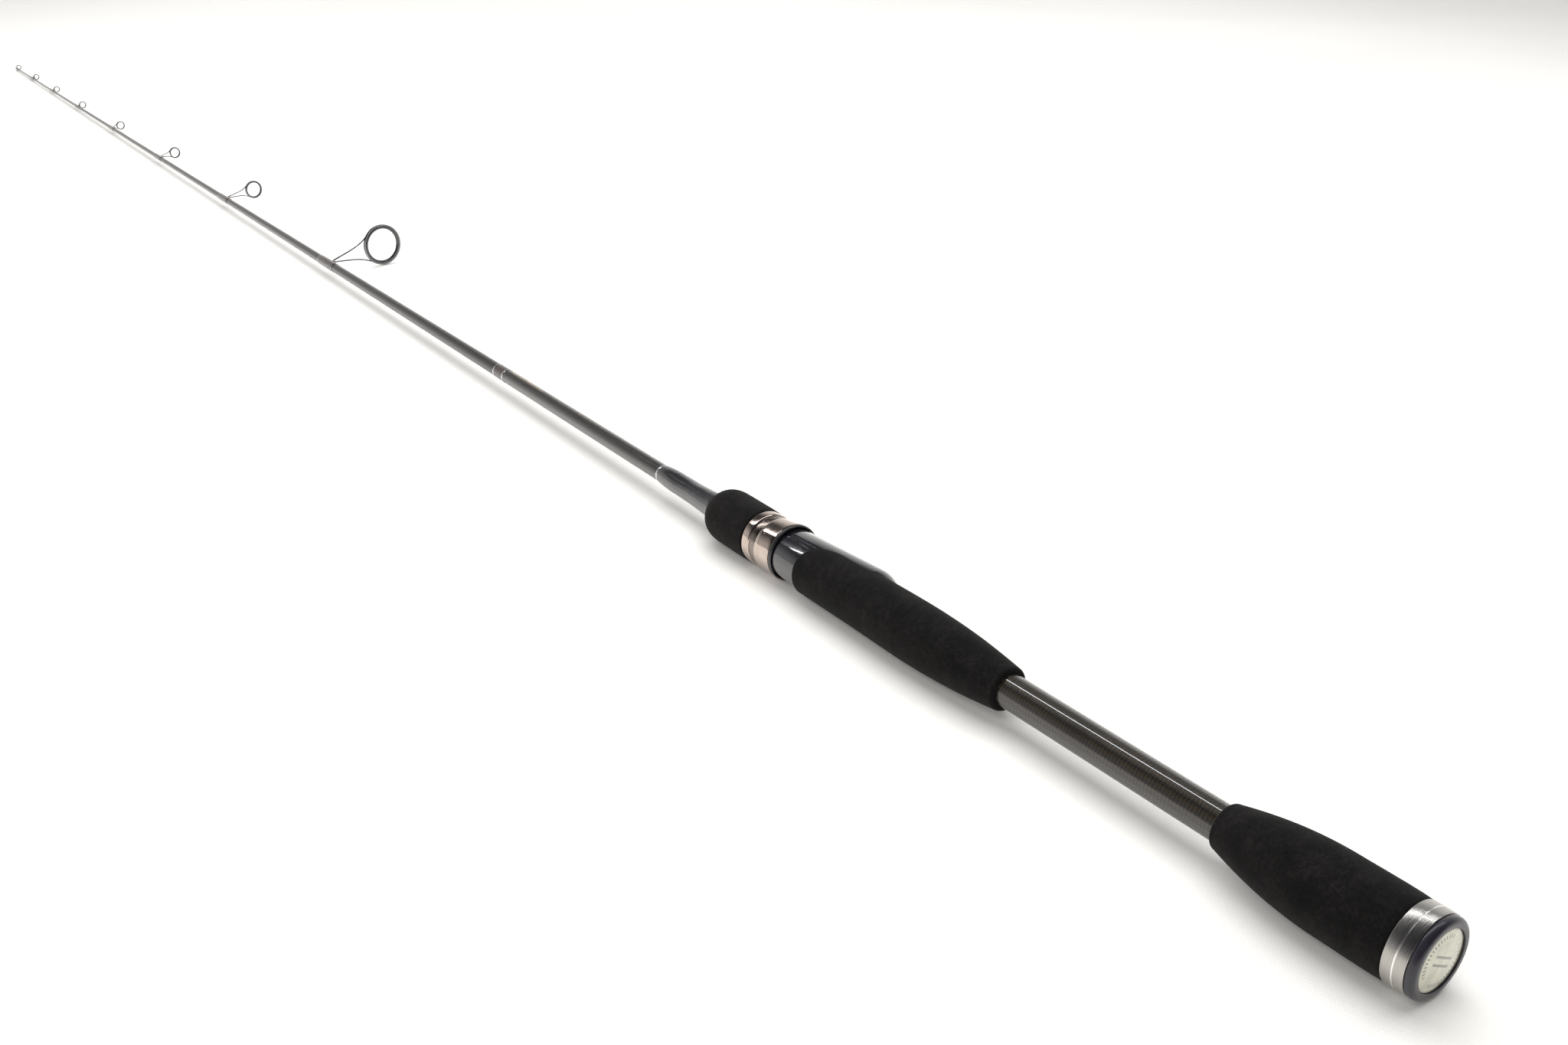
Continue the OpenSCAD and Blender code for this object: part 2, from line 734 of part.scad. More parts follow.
module guide_ring(i) {
    line_ring(guide_xs[i], ring_hs[i], hoop_ds[i]);
}

// Thread wrap over a guide's foot, with a longer tail behind the frame
module guide_wrap(i) {
    d = hoop_ds[i];
    x0 = stem_x(i) - wrap_tail(d);
    x1 = stem_x(i) + foot_len(d) + 1.5;
    ramp = 0.8;
    skin = foot_t + wrap_skin;
    color([0.12, 0.06, 0.05])
        guide_side()
            difference() {
                turned([
                    [blank_r(x0), x0], [blank_r(x0) + 0.15, x0], [blank_r(x0 + ramp) + skin * 0.6, x0 + ramp],
                    [blank_r(stem_x(i) - 4) + skin * 0.7, stem_x(i) - 4], [blank_r(stem_x(i)) + skin, stem_x(i)],
                    [blank_r(x1 - ramp * 3) + skin, x1 - ramp * 3], [blank_r(x1) + 0.1, x1], [blank_r(x1), x1]
                ]);
                intersection() {
                    foot_box(i);
                    turned([[0, x0], [blank_r(x0) + foot_t, x0], [blank_r(x1) + foot_t, x1], [0, x1]]);
                }
                stem(i);
            }
}

module stripper_band() {
    x1 = stem_x(0) - wrap_tail(hoop_ds[0]);
    color([0.8, 0.8, 0.82])
        sleeve_on_blank(x1 - 0.9, x1, 0.42, 0.42);
}

module tip_tube() {
    r = blank_r(tip_tube_x) + tip_tube_wall;
    color([0.4, 0.4, 0.42])
        turned([
            [blank_r(tip_tube_x), tip_tube_x], [r, tip_tube_x], [r, tip_tube_end_x], [0, tip_tube_end_x],
            [0, tip_end_x], [blank_r(tip_end_x), tip_end_x]
        ]);
}

// Hoop, two side legs, a post and a back stay that hold the tip ring on its tube
module tip_frame() {
    d = tip_hoop_d;
    r = d / 2 - hoop_wall(d) / 2;
    tube_r = blank_r(tip_tube_x) + tip_tube_wall;
    centre = [tip_ring_x, 0, tip_ring_h];
    up = [sin(ring_lean), 0, cos(ring_lean)];
    color([0.4, 0.4, 0.42])
        guide_side()
            difference() {
                union() {
                    for (side = [-1, 1])
                        bar([tip_tube_end_x + 0.2, side * 0.3, 0.2],
                            centre - r * cos(75) * up + [0, side * r * sin(75), 0], 0.3);
                    bar([tip_tube_end_x + 0.2, 0, 0], centre - r * up, 0.35);
                    bar([tip_tube_x + 5, 0, tube_r - 0.1], centre - r * up, 0.25);
                    hoop(centre, d);
                }
                turned([[0, tip_tube_x - 2], [tube_r, tip_tube_x - 2], [tube_r, tip_tube_end_x], [0, tip_tube_end_x]]);
                ring_seat(centre, d);
            }
}

module tip_ring() {
    line_ring(tip_ring_x, tip_ring_h, tip_hoop_d);
}

module tip_wrap() {
    color([0.12, 0.06, 0.05])
        sleeve_on_blank(tip_tube_x - 5, tip_tube_x, 0.15, tip_tube_wall);
}

butt_cap();
butt_disc();
butt_ring();
butt_grip();
butt_plug();
handle_tube();
tube_arbor_rear();
tube_arbor_front();
rear_grip();
palm_grip();
seat_body();
seat_arbor();
barrel_arbor();
hood_sleeve();
hood_insert();
nut_core();
nut_ring();
foregrip();
winding_check();
seat_wrap();
band_rear();
label_section();
band_mid();
shoulder_wrap();
band_front();
blank();
stripper_band();
tip_tube();
tip_frame();
tip_ring();
tip_wrap();
for (i = [0:GUIDES - 1]) {
    guide_frame(i);
    guide_ring(i);
    guide_wrap(i);
}
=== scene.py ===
import json
import math
import random

import bmesh
import bpy
from mathutils import Matrix, Vector

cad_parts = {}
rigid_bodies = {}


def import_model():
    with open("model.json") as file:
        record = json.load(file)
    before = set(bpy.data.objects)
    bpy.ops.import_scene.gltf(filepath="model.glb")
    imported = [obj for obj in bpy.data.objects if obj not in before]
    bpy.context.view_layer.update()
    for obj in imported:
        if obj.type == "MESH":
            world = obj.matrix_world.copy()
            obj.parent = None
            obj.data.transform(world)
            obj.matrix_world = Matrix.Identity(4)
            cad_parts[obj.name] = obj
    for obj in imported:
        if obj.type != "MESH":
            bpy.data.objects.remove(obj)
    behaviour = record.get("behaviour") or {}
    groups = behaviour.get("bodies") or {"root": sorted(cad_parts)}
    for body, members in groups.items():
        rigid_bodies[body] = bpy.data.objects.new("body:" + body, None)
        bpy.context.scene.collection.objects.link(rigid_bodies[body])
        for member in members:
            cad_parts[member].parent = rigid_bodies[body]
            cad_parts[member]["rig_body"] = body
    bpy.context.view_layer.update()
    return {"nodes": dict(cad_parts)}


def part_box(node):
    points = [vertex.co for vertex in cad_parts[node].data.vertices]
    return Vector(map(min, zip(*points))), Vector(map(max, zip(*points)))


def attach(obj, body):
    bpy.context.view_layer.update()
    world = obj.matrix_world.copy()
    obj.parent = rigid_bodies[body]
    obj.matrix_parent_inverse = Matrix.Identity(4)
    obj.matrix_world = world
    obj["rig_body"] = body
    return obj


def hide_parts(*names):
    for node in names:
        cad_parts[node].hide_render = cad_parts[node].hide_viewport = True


MM = 0.001
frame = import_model()
scene = bpy.context.scene


# ---------------------------------------------------------------- small tools

def span(node):
    """First and last station of a node along the rod, in mm."""
    low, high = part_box(node)
    return low.x / MM, high.x / MM


def size_r(node):
    """Half the height of a node across the rod, in mm."""
    low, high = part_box(node)
    return (high.z - low.z) / 2 / MM


def lerp(a, b, t):
    return a + (b - a) * t


def smooth(t):
    t = max(0.0, min(1.0, t))
    return t * t * (3 - 2 * t)


def body_of(node):
    return frame["nodes"][node]["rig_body"]


def add_mesh(name, verts, faces, replaces, mat):
    """A mesh piece in place of a CAD node, on that node's body. Points are in mm, in the row frame."""
    me = bpy.data.meshes.new(name)
    me.from_pydata([(x * MM, y * MM, z * MM) for x, y, z in verts], [], faces)
    me.update()
    bm = bmesh.new()
    bm.from_mesh(me)
    bmesh.ops.recalc_face_normals(bm, faces=bm.faces)
    for f in bm.faces:
        f.smooth = True
    bm.to_mesh(me)
    bm.free()
    ob = bpy.data.objects.new(name, me)
    scene.collection.objects.link(ob)
    me.materials.append(mat)
    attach(ob, body_of(replaces))
    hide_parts(replaces)
    return ob


def mark_sharp(bm, degrees):
    limit = math.radians(degrees)
    for e in bm.edges:
        e.smooth = not (len(e.link_faces) == 2 and e.calc_face_angle(0) > limit)


def sharpen(ob, degrees):
    """Marks edges sharper than the angle as sharp, so flat ends stay crisp beside round walls."""
    bm = bmesh.new()
    bm.from_mesh(ob.data)
    mark_sharp(bm, degrees)
    bm.to_mesh(ob.data)
    bm.free()


def turned(name, profile, replaces, mat, segments=96, wobble=None, sharp=32):
    """Closed solid of revolution about the rod's axis, from (radius, station) points in mm.

    wobble(x, angle) adds to the radius. Edges sharper than sharp, in degrees, stay crisp.
    """
    verts, faces, rows = [], [], []
    for r, x in profile:
        if r < 1e-6:
            rows.append([len(verts)])
            verts.append((x, 0.0, 0.0))
            continue
        row = []
        for k in range(segments):
            a = 2 * math.pi * k / segments
            rr = r + (wobble(x, a) if wobble else 0.0)
            row.append(len(verts))
            verts.append((x, rr * math.cos(a), rr * math.sin(a)))
        rows.append(row)
    closed = profile[0][0] >= 1e-6 and profile[-1][0] >= 1e-6
    pairs = list(zip(rows, rows[1:])) + ([(rows[-1], rows[0])] if closed else [])
    for p, q in pairs:
        if len(p) == 1 and len(q) == 1:
            continue
        for k in range(segments):
            j = (k + 1) % segments
            if len(p) == 1:
                faces.append((p[0], q[k], q[j]))
            elif len(q) == 1:
                faces.append((p[k], q[0], p[j]))
            else:
                faces.append((p[k], q[k], q[j], p[j]))
    ob = add_mesh(name, verts, faces, replaces, mat)
    sharpen(ob, sharp)
    return ob


def arc(r, x, rr, rx, a0, a1, n=8):
    """Part of an ellipse round (r, x), as (radius, station) points. 0 degrees is outwards and 90 tipwards."""
    out = []
    for k in range(n + 1):
        a = math.radians(lerp(a0, a1, k / n))
        out.append((r + rr * math.cos(a), x + rx * math.sin(a)))
    return out


def refined(node, mat, bevel, angle=33):
    """A copy of a CAD node with welded points, soft shading and fine bevels in mm, which replaces it."""
    me = frame["nodes"][node].data.copy()
    me.name = node + "_fine"
    ob = bpy.data.objects.new(node + "_fine", me)
    scene.collection.objects.link(ob)
    bm = bmesh.new()
    bm.from_mesh(me)
    bmesh.ops.remove_doubles(bm, verts=bm.verts, dist=0.004 * MM)
    bmesh.ops.dissolve_degenerate(bm, edges=bm.edges, dist=0.002 * MM)
    for f in bm.faces:
        f.smooth = True
    mark_sharp(bm, angle)
    bm.to_mesh(me)
    bm.free()
    me.materials.clear()
    me.materials.append(mat)
    m = ob.modifiers.new("soft_edges", "BEVEL")
    m.width = bevel * MM
    m.segments = 3
    m.limit_method = "ANGLE"
    m.angle_limit = math.radians(angle)
    m.use_clamp_overlap = True
    m.harden_normals = False
    dg = bpy.context.evaluated_depsgraph_get()
    done = bpy.data.meshes.new_from_object(ob.evaluated_get(dg))
    ob.modifiers.clear()
    ob.data = done
    for p in ob.data.polygons:
        p.use_smooth = True
    sharpen(ob, 40)
    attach(ob, body_of(node))
    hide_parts(node)
    return ob


# ---------------------------------------------------------------- materials

class Nodes:
    """Thin wrapper round a node tree, to keep the material code short."""

    def __init__(self, tree):
        self.tree = tree

    def new(self, kind):
        return self.tree.nodes.new(kind)

    def link(self, a, b):
        self.tree.links.new(a, b)

    def to(self, socket, value):
        """Gives a socket either a link or a number."""
        if hasattr(value, "is_output"):
            self.link(value, socket)
        else:
            socket.default_value = value

    def math(self, op, a, b=0.0, c=0.0):
        m = self.new("ShaderNodeMath")
        m.operation = op
        for socket, value in zip(m.inputs, (a, b, c)):
            self.to(socket, value)
        return m.outputs[0]

    def xyz_of(self, vector):
        s = self.new("ShaderNodeSeparateXYZ")
        self.link(vector, s.inputs[0])
        return s.outputs

    def ramp(self, fac, stops):
        r = self.new("ShaderNodeValToRGB")
        while len(r.color_ramp.elements) < len(stops):
            r.color_ramp.elements.new(0.5)
        for e, (place, color) in zip(r.color_ramp.elements, stops):
            e.position = place
            e.color = (*color, 1.0)
        self.link(fac, r.inputs[0])
        return r.outputs[0]

    def mix(self, fac, a, b, blend="MIX"):
        m = self.new("ShaderNodeMix")
        m.data_type = "RGBA"
        m.blend_type = blend
        self.to(m.inputs[0], fac)
        for socket, value in ((m.inputs[6], a), (m.inputs[7], b)):
            self.to(socket, (*value, 1.0) if isinstance(value, tuple) else value)
        return m.outputs[2]


class Shader(Nodes):
    """A material with one Principled shader."""

    def __init__(self, name):
        self.mat = bpy.data.materials.new(name)
        self.mat.use_nodes = True
        super().__init__(self.mat.node_tree)
        self.bsdf = self.tree.nodes["Principled BSDF"]
        self._xyz = None

    def put(self, **values):
        for key, value in values.items():
            self.bsdf.inputs[key.replace("_", " ")].default_value = value

    def coord(self):
        return self.new("ShaderNodeTexCoord").outputs["Object"]

    def xyz(self):
        """x, y and z in mm, in the row frame."""
        if self._xyz is None:
            self._xyz = [self.math("MULTIPLY", o, 1000.0) for o in self.xyz_of(self.coord())]
        return self._xyz

    def angle(self):
        """Angle about the rod's axis in radians, from +Y towards +Z."""
        _, y, z = self.xyz()
        return self.math("ARCTAN2", z, y)

    def radius(self):
        """Distance from the rod's axis in mm."""
        _, y, z = self.xyz()
        return self.math("SQRT", self.math("ADD", self.math("MULTIPLY", y, y), self.math("MULTIPLY", z, z)))

    def vector(self, x, y, z):
        c = self.new("ShaderNodeCombineXYZ")
        for socket, value in zip(c.inputs, (x, y, z)):
            self.to(socket, value)
        return c.outputs[0]

    def scaled(self, kx, ky, kz):
        """The point in mm, stretched along each axis."""
        return self.vector(*(self.math("MULTIPLY", v, k) for v, k in zip(self.xyz(), (kx, ky, kz))))

    def noise(self, scale, detail, rough, vector=None):
        n = self.new("ShaderNodeTexNoise")
        self.link(vector if vector is not None else self.coord(), n.inputs["Vector"])
        n.inputs["Scale"].default_value = scale
        n.inputs["Detail"].default_value = detail
        n.inputs["Roughness"].default_value = rough
        return n.outputs[0]

    def cells(self, scale):
        n = self.new("ShaderNodeTexVoronoi")
        self.link(self.coord(), n.inputs["Vector"])
        n.inputs["Scale"].default_value = scale
        return n.outputs["Distance"]

    def map(self, value, from_low, from_high, to_low, to_high):
        m = self.new("ShaderNodeMapRange")
        m.clamp = True
        for socket, v in zip(m.inputs[0:5], (value, from_low, from_high, to_low, to_high)):
            self.to(socket, v)
        return m.outputs[0]

    def color(self, value):
        self.link(value, self.bsdf.inputs["Base Color"])

    def rough(self, value):
        self.link(value, self.bsdf.inputs["Roughness"])

    def bump(self, height, distance_mm, strength, coat=False):
        b = self.new("ShaderNodeBump")
        b.inputs["Strength"].default_value = strength
        b.inputs["Distance"].default_value = distance_mm * MM
        self.link(height, b.inputs["Height"])
        last = self.bsdf.inputs["Normal"].links
        if last:
            self.link(last[0].from_socket, b.inputs["Normal"])
        self.link(b.outputs[0], self.bsdf.inputs["Normal"])
        if coat:
            self.link(b.outputs[0], self.bsdf.inputs["Coat Normal"])


def eva_foam():
    s = Shader("eva_foam")
    s.put(Roughness=0.9, Specular_IOR_Level=0.12, Sheen_Weight=0.03, Sheen_Roughness=0.5)
    grain = s.noise(3400.0, 4.0, 0.62)
    broad = s.noise(120.0, 4.0, 0.6)
    mid = s.noise(700.0, 3.0, 0.55)
    tone = s.math("ADD", s.math("MULTIPLY", grain, 0.45), s.math("MULTIPLY", broad, 0.35))
    tone = s.math("ADD", tone, s.math("MULTIPLY", mid, 0.25))
    s.color(s.ramp(tone, [(0.36, (0.0014, 0.0013, 0.0013)), (0.52, (0.0050, 0.0046, 0.0046)),
                          (0.68, (0.0150, 0.0136, 0.0134))]))
    s.rough(s.map(grain, 0.3, 0.7, 0.82, 0.97))
    pores = s.cells(4200.0)
    s.bump(s.math("ADD", s.math("MULTIPLY", pores, 0.6), grain), 0.10, 0.8)
    s.bump(mid, 0.10, 0.5)
    return s.mat


def woven_carbon():
    """Plain weave of two yarns that run diagonally round the tube, under clear lacquer."""
    s = Shader("woven_carbon")
    s.put(Metallic=0.25, Specular_IOR_Level=0.5, Coat_Weight=1.0, Coat_Roughness=0.03, Coat_IOR=1.5)
    x = s.xyz()[0]
    pitch = 1.55
    yarns_round = 16
    arc_mm = s.math("MULTIPLY", s.angle(), yarns_round * pitch / (2 * math.pi))
    u = s.math("DIVIDE", s.math("ADD", x, arc_mm), pitch)
    v = s.math("DIVIDE", s.math("SUBTRACT", x, arc_mm), pitch)
    fu, fv = s.math("FRACT", u), s.math("FRACT", v)
    cell = s.math("ADD", s.math("FLOOR", u), s.math("FLOOR", v))
    over = s.math("GREATER_THAN", s.math("PINGPONG", cell, 1.0), 0.5)
    hump_u = s.math("SINE", s.math("MULTIPLY", fu, math.pi))
    hump_v = s.math("SINE", s.math("MULTIPLY", fv, math.pi))
    hump = s.math("ADD", s.math("MULTIPLY", over, hump_u),
                  s.math("MULTIPLY", s.math("SUBTRACT", 1.0, over), hump_v))

    def fibres(across, along, seed):
        place = s.vector(s.math("MULTIPLY", across, 9.0), s.math("MULTIPLY", along, 0.6), seed)
        return s.noise(1.0, 2.0, 0.5, place)

    fibre_u = fibres(v, u, 0.0)
    fibre_v = fibres(u, v, 3.0)
    warp = s.ramp(fibre_u, [(0.3, (0.005, 0.0042, 0.0035)), (0.7, (0.016, 0.0135, 0.0105))])
    weft = s.ramp(fibre_v, [(0.3, (0.018, 0.0135, 0.008)), (0.7, (0.052, 0.039, 0.023))])
    drift = s.noise(60.0, 3.0, 0.6)
    tone = s.mix(over, weft, warp)
    tone = s.mix(s.map(hump, 0.0, 0.55, 0.55, 0.0), tone, (0.008, 0.007, 0.006))
    tone = s.mix(s.map(drift, 0.35, 0.7, 0.0, 0.45), tone, (0.013, 0.011, 0.0095))
    s.color(tone)
    s.rough(s.map(hump, 0.0, 1.0, 0.5, 0.3))
    s.bump(hump, 0.05, 0.5)
    return s.mat


def turned_metal(name, dark, light, rough, groove_x):
    """Metal turned on a lathe: fine rings round the axis, a radial highlight, and a painted highlight that
    turns the colour near-white along the groove.
    """
    s = Shader(name)
    turned_sheen = 0.72
    s.put(Metallic=1.0, Anisotropic=turned_sheen, Anisotropic_Rotation=0.0)
    x = s.xyz()[0]
    rings = s.noise(1.0, 3.0, 0.65, s.vector(s.math("MULTIPLY", x, 11.0), 0.0, 0.0))
    along = s.math("MULTIPLY", x, 24.0)
    streak = s.noise(1.0, 2.0, 0.5, s.vector(along, s.math("MULTIPLY", s.angle(), 2.0), 1.0))
    tone = s.ramp(s.math("ADD", s.math("MULTIPLY", rings, 0.6), s.math("MULTIPLY", streak, 0.4)),
                  [(0.3, dark), (0.7, light)])
    # painted highlight: within a fraction of a mm of the groove the colour turns near-white, as a bright line
    # round the ring
    near = s.math("ABSOLUTE", s.math("SUBTRACT", x, groove_x))
    tone = s.mix(s.map(near, 0.2, 0.34, 1.0, 0.0), tone, (0.97, 0.96, 0.93))
    s.link(s.map(near, 0.2, 0.34, 0.0, turned_sheen), s.bsdf.inputs["Anisotropic"])
    s.color(tone)
    s.rough(s.map(rings, 0.3, 0.7, rough * 0.85, rough * 1.2))
    t = s.new("ShaderNodeTangent")
    t.direction_type = "RADIAL"
    t.axis = "X"
    s.link(t.outputs[0], s.bsdf.inputs["Tangent"])
    s.bump(rings, 0.012, 0.6)
    return s.mat


def polished_metal(name, dark, light, rough):
    s = Shader(name)
    s.put(Metallic=1.0, Specular_IOR_Level=0.5, Coat_Weight=0.35, Coat_Roughness=0.05)
    cloud = s.noise(160.0, 4.0, 0.6)
    fine = s.noise(2600.0, 2.0, 0.5)
    s.color(s.ramp(s.math("ADD", s.math("MULTIPLY", cloud, 0.7), s.math("MULTIPLY", fine, 0.3)),
                   [(0.3, dark), (0.7, light)]))
    s.rough(s.map(cloud, 0.3, 0.7, rough * 0.8, rough * 1.3))
    s.bump(fine, 0.004, 0.5)
    return s.mat


def moulded_black(name, low, high, rough, coat=0.0):
    """Satin moulding. rough is the range of its roughness."""
    s = Shader(name)
    s.put(Specular_IOR_Level=0.5, Coat_Weight=coat, Coat_Roughness=0.04)
    cloud = s.noise(180.0, 3.0, 0.6)
    fine = s.noise(5200.0, 3.0, 0.6)
    s.color(s.ramp(cloud, [(0.3, low), (0.7, high)]))
    s.rough(s.map(fine, 0.3, 0.7, *rough))
    s.bump(fine, 0.02, 0.5)
    return s.mat


def gloss_black():
    s = Shader("gloss_black")
    s.put(Specular_IOR_Level=0.5, Coat_Weight=1.0, Coat_Roughness=0.02, Coat_IOR=1.55)
    cloud = s.noise(110.0, 3.0, 0.55)
    wave = s.noise(45.0, 2.0, 0.5)
    s.color(s.ramp(cloud, [(0.3, (0.0035, 0.0035, 0.0050)), (0.7, (0.0085, 0.0080, 0.0125))]))
    s.rough(s.map(cloud, 0.3, 0.7, 0.14, 0.26))
    s.bump(wave, 0.05, 0.35, coat=True)
    return s.mat


def lacquer_black():
    """Epoxy over black thread, with the slow waves that brushed epoxy has."""
    s = Shader("lacquer_black")
    s.put(Specular_IOR_Level=0.5, Coat_Weight=1.0, Coat_Roughness=0.02, Coat_IOR=1.55)
    pitch = 0.32
    thread = s.math("SINE", s.math("MULTIPLY", s.xyz()[0], 2 * math.pi / pitch))
    cloud = s.noise(140.0, 3.0, 0.55)
    wave = s.noise(1.0, 2.0, 0.5, s.scaled(0.11, 0.16, 0.16))
    s.color(s.ramp(cloud, [(0.3, (0.0030, 0.0030, 0.0042)), (0.7, (0.0090, 0.0080, 0.0120))]))
    s.rough(s.map(thread, -1.0, 1.0, 0.18, 0.32))
    s.bump(wave, 0.35, 0.55, coat=True)
    return s.mat


def spiral(s, pitch):
    """Turns of a spiral round the rod, counted along it."""
    return s.math("ADD", s.math("DIVIDE", s.xyz()[0], pitch), s.math("DIVIDE", s.angle(), 2 * math.pi))


def thread_wrap(name, low, high):
    """Thread laid side by side round the rod, under clear epoxy."""
    s = Shader(name)
    s.put(Specular_IOR_Level=0.5, Coat_Weight=1.0, Coat_Roughness=0.04, Coat_IOR=1.5)
    ridge = s.math("SINE", s.math("MULTIPLY", spiral(s, 0.3), math.pi * 2))
    along = s.math("MULTIPLY", s.xyz()[0], 18.0)
    fibre = s.noise(1.0, 3.0, 0.6, s.vector(along, s.math("MULTIPLY", s.angle(), 6.0), 0.0))
    tone = s.math("ADD", s.map(ridge, -1.0, 1.0, 0.0, 0.6), s.math("MULTIPLY", fibre, 0.4))
    s.color(s.ramp(tone, [(0.15, low), (0.85, high)]))
    s.rough(s.map(ridge, -1.0, 1.0, 0.55, 0.35))
    s.bump(ridge, 0.03, 0.6)
    return s.mat


def blank_lacquer():
    """Ground carbon under clear lacquer, with the faint spiral left by the shrink tape."""
    s = Shader("carbon_blank")
    s.put(Metallic=0.1, Specular_IOR_Level=0.4, Coat_Weight=0.7, Coat_Roughness=0.06, Coat_IOR=1.45)
    tape = s.math("PINGPONG", spiral(s, 2.4), 0.5)
    edge = s.map(tape, 0.0, 0.12, 1.0, 0.0)
    fibre = s.noise(1.0, 3.0, 0.6, s.scaled(0.12, 5.0, 5.0))
    drift = s.noise(14.0, 3.0, 0.6)
    tone = s.math("ADD", s.math("MULTIPLY", fibre, 0.6), s.math("MULTIPLY", drift, 0.4))
    base = s.ramp(tone, [(0.3, (0.006, 0.0055, 0.005)), (0.7, (0.019, 0.0165, 0.0135))])
    s.color(s.mix(s.math("MULTIPLY", edge, 0.35), base, (0.030, 0.027, 0.023)))
    s.rough(s.map(tone, 0.3, 0.7, 0.28, 0.42))
    s.bump(edge, 0.02, 0.35)
    return s.mat


def label_coat():
    """Dark lacquered section with plain gold and brown marks: bars, lozenges and side lines, not letters.

    The marks' stations are counted from the section's start.
    """
    s = Shader("label_coat")
    s.put(Metallic=0.1, Specular_IOR_Level=0.5, Coat_Weight=1.0, Coat_Roughness=0.03, Coat_IOR=1.5)
    start = span("label_section")[0]
    x = s.math("SUBTRACT", s.xyz()[0], start)
    facing = math.radians(104.0)
    across = s.math("ABSOLUTE", s.math("MULTIPLY", s.math("SUBTRACT", s.angle(), facing), s.radius()))
    fibre = s.noise(1.0, 3.0, 0.6, s.scaled(0.15, 5.0, 5.0))
    base = s.ramp(fibre, [(0.3, (0.011, 0.0095, 0.0085)), (0.7, (0.030, 0.026, 0.022))])

    def both(one, other):
        return s.math("MULTIPLY", one, other)

    def any_of(first, *others):
        for other in others:
            first = s.math("MAXIMUM", first, other)
        return first

    def repeat(pitch):
        return s.math("FRACT", s.math("DIVIDE", s.xyz()[0], pitch))

    def window(low, high):
        return both(s.math("GREATER_THAN", x, low), s.math("LESS_THAN", x, high))

    def bars(low, high, pitch, fill, half):
        beat = s.math("LESS_THAN", repeat(pitch), fill)
        return both(window(low, high), both(beat, s.math("LESS_THAN", across, half)))

    def lozenges(low, high, pitch, half):
        from_middle = s.math("ABSOLUTE", s.math("SUBTRACT", repeat(pitch), 0.5))
        d = s.math("ADD", s.math("MULTIPLY", from_middle, 2.4), s.math("DIVIDE", across, half))
        return both(window(low, high), both(s.math("LESS_THAN", d, 1.0), s.math("GREATER_THAN", d, 0.45)))

    def side_lines(low, high, off):
        near = s.math("LESS_THAN", s.math("ABSOLUTE", s.math("SUBTRACT", across, off)), 0.06)
        return both(window(low, high), near)

    bronze = any_of(lozenges(56, 116, 6.0, 1.7),
                    bars(50, 54.5, 9.0, 0.6, 0.35),
                    bars(118, 122.5, 9.0, 0.6, 0.35))
    gold = any_of(bars(131, 150, 1.6, 0.55, 0.5),
                  bars(152, 169, 2.3, 0.6, 0.5),
                  side_lines(129, 171, 1.05))
    tone = s.mix(s.math("MULTIPLY", bronze, 0.75), base, (0.085, 0.055, 0.028))
    tone = s.mix(s.math("MULTIPLY", gold, 0.9), tone, (0.30, 0.215, 0.085))
    s.color(tone)
    s.rough(s.map(fibre, 0.3, 0.7, 0.25, 0.38))
    return s.mat


def pearl_disc():
    """Pale pearl lacquer with a generic dial: a broken ring of ticks and two plain bars."""
    s = Shader("pearl_disc")
    s.put(Metallic=0.15, Specular_IOR_Level=0.5, Coat_Weight=1.0, Coat_Roughness=0.04, Coat_IOR=1.5)
    _, y, z = s.xyz()
    a, r = s.angle(), s.radius()
    cloud = s.noise(240.0, 4.0, 0.6)
    flake = s.cells(3600.0)
    base = s.ramp(cloud, [(0.3, (0.50, 0.50, 0.36)), (0.7, (0.74, 0.72, 0.58))])
    base = s.mix(s.map(flake, 0.0, 0.35, 0.22, 0.0), base, (0.86, 0.86, 0.78))
    ticks = 40
    tick = s.math("LESS_THAN", s.math("FRACT", s.math("MULTIPLY", a, ticks / (2 * math.pi))), 0.34)
    ring = s.math("MULTIPLY", s.math("GREATER_THAN", r, 7.7), s.math("LESS_THAN", r, 8.9))
    gap = s.math("GREATER_THAN", s.math("ABSOLUTE", s.math("SINE", s.math("ADD", a, 0.5))), 0.32)
    marks = s.math("MULTIPLY", s.math("MULTIPLY", tick, ring), gap)
    along = s.math("ADD", s.math("MULTIPLY", y, 0.80), s.math("MULTIPLY", z, 0.60))
    cross = s.math("SUBTRACT", s.math("MULTIPLY", z, 0.80), s.math("MULTIPLY", y, 0.60))
    half_pitch = 1.35
    bar = s.math("PINGPONG", s.math("ADD", cross, half_pitch), half_pitch)
    bar = s.math("LESS_THAN", bar, 0.42)
    taper = s.math("SUBTRACT", 5.6, s.math("MULTIPLY", s.math("ABSOLUTE", cross), 0.55))
    bar = s.math("MULTIPLY", bar, s.math("LESS_THAN", s.math("ABSOLUTE", along), taper))
    bar = s.math("MULTIPLY", bar, s.math("LESS_THAN", s.math("ABSOLUTE", cross), 3.3))
    marks = s.math("MAXIMUM", marks, bar)
    rim = s.map(r, 10.1, 10.6, 0.0, 0.55)
    tone = s.mix(s.math("MULTIPLY", marks, 0.85), base, (0.075, 0.068, 0.060))
    s.color(s.mix(rim, tone, (0.20, 0.19, 0.14)))
    s.rough(s.map(cloud, 0.3, 0.7, 0.3, 0.45))
    return s.mat


def ceramic():
    s = Shader("guide_ceramic")
    s.put(Specular_IOR_Level=0.6, Coat_Weight=0.6, Coat_Roughness=0.03)
    cloud = s.noise(300.0, 3.0, 0.5)
    s.color(s.ramp(cloud, [(0.3, (0.012, 0.012, 0.014)), (0.7, (0.028, 0.027, 0.030))]))
    s.rough(s.map(cloud, 0.3, 0.7, 0.10, 0.2))
    return s.mat


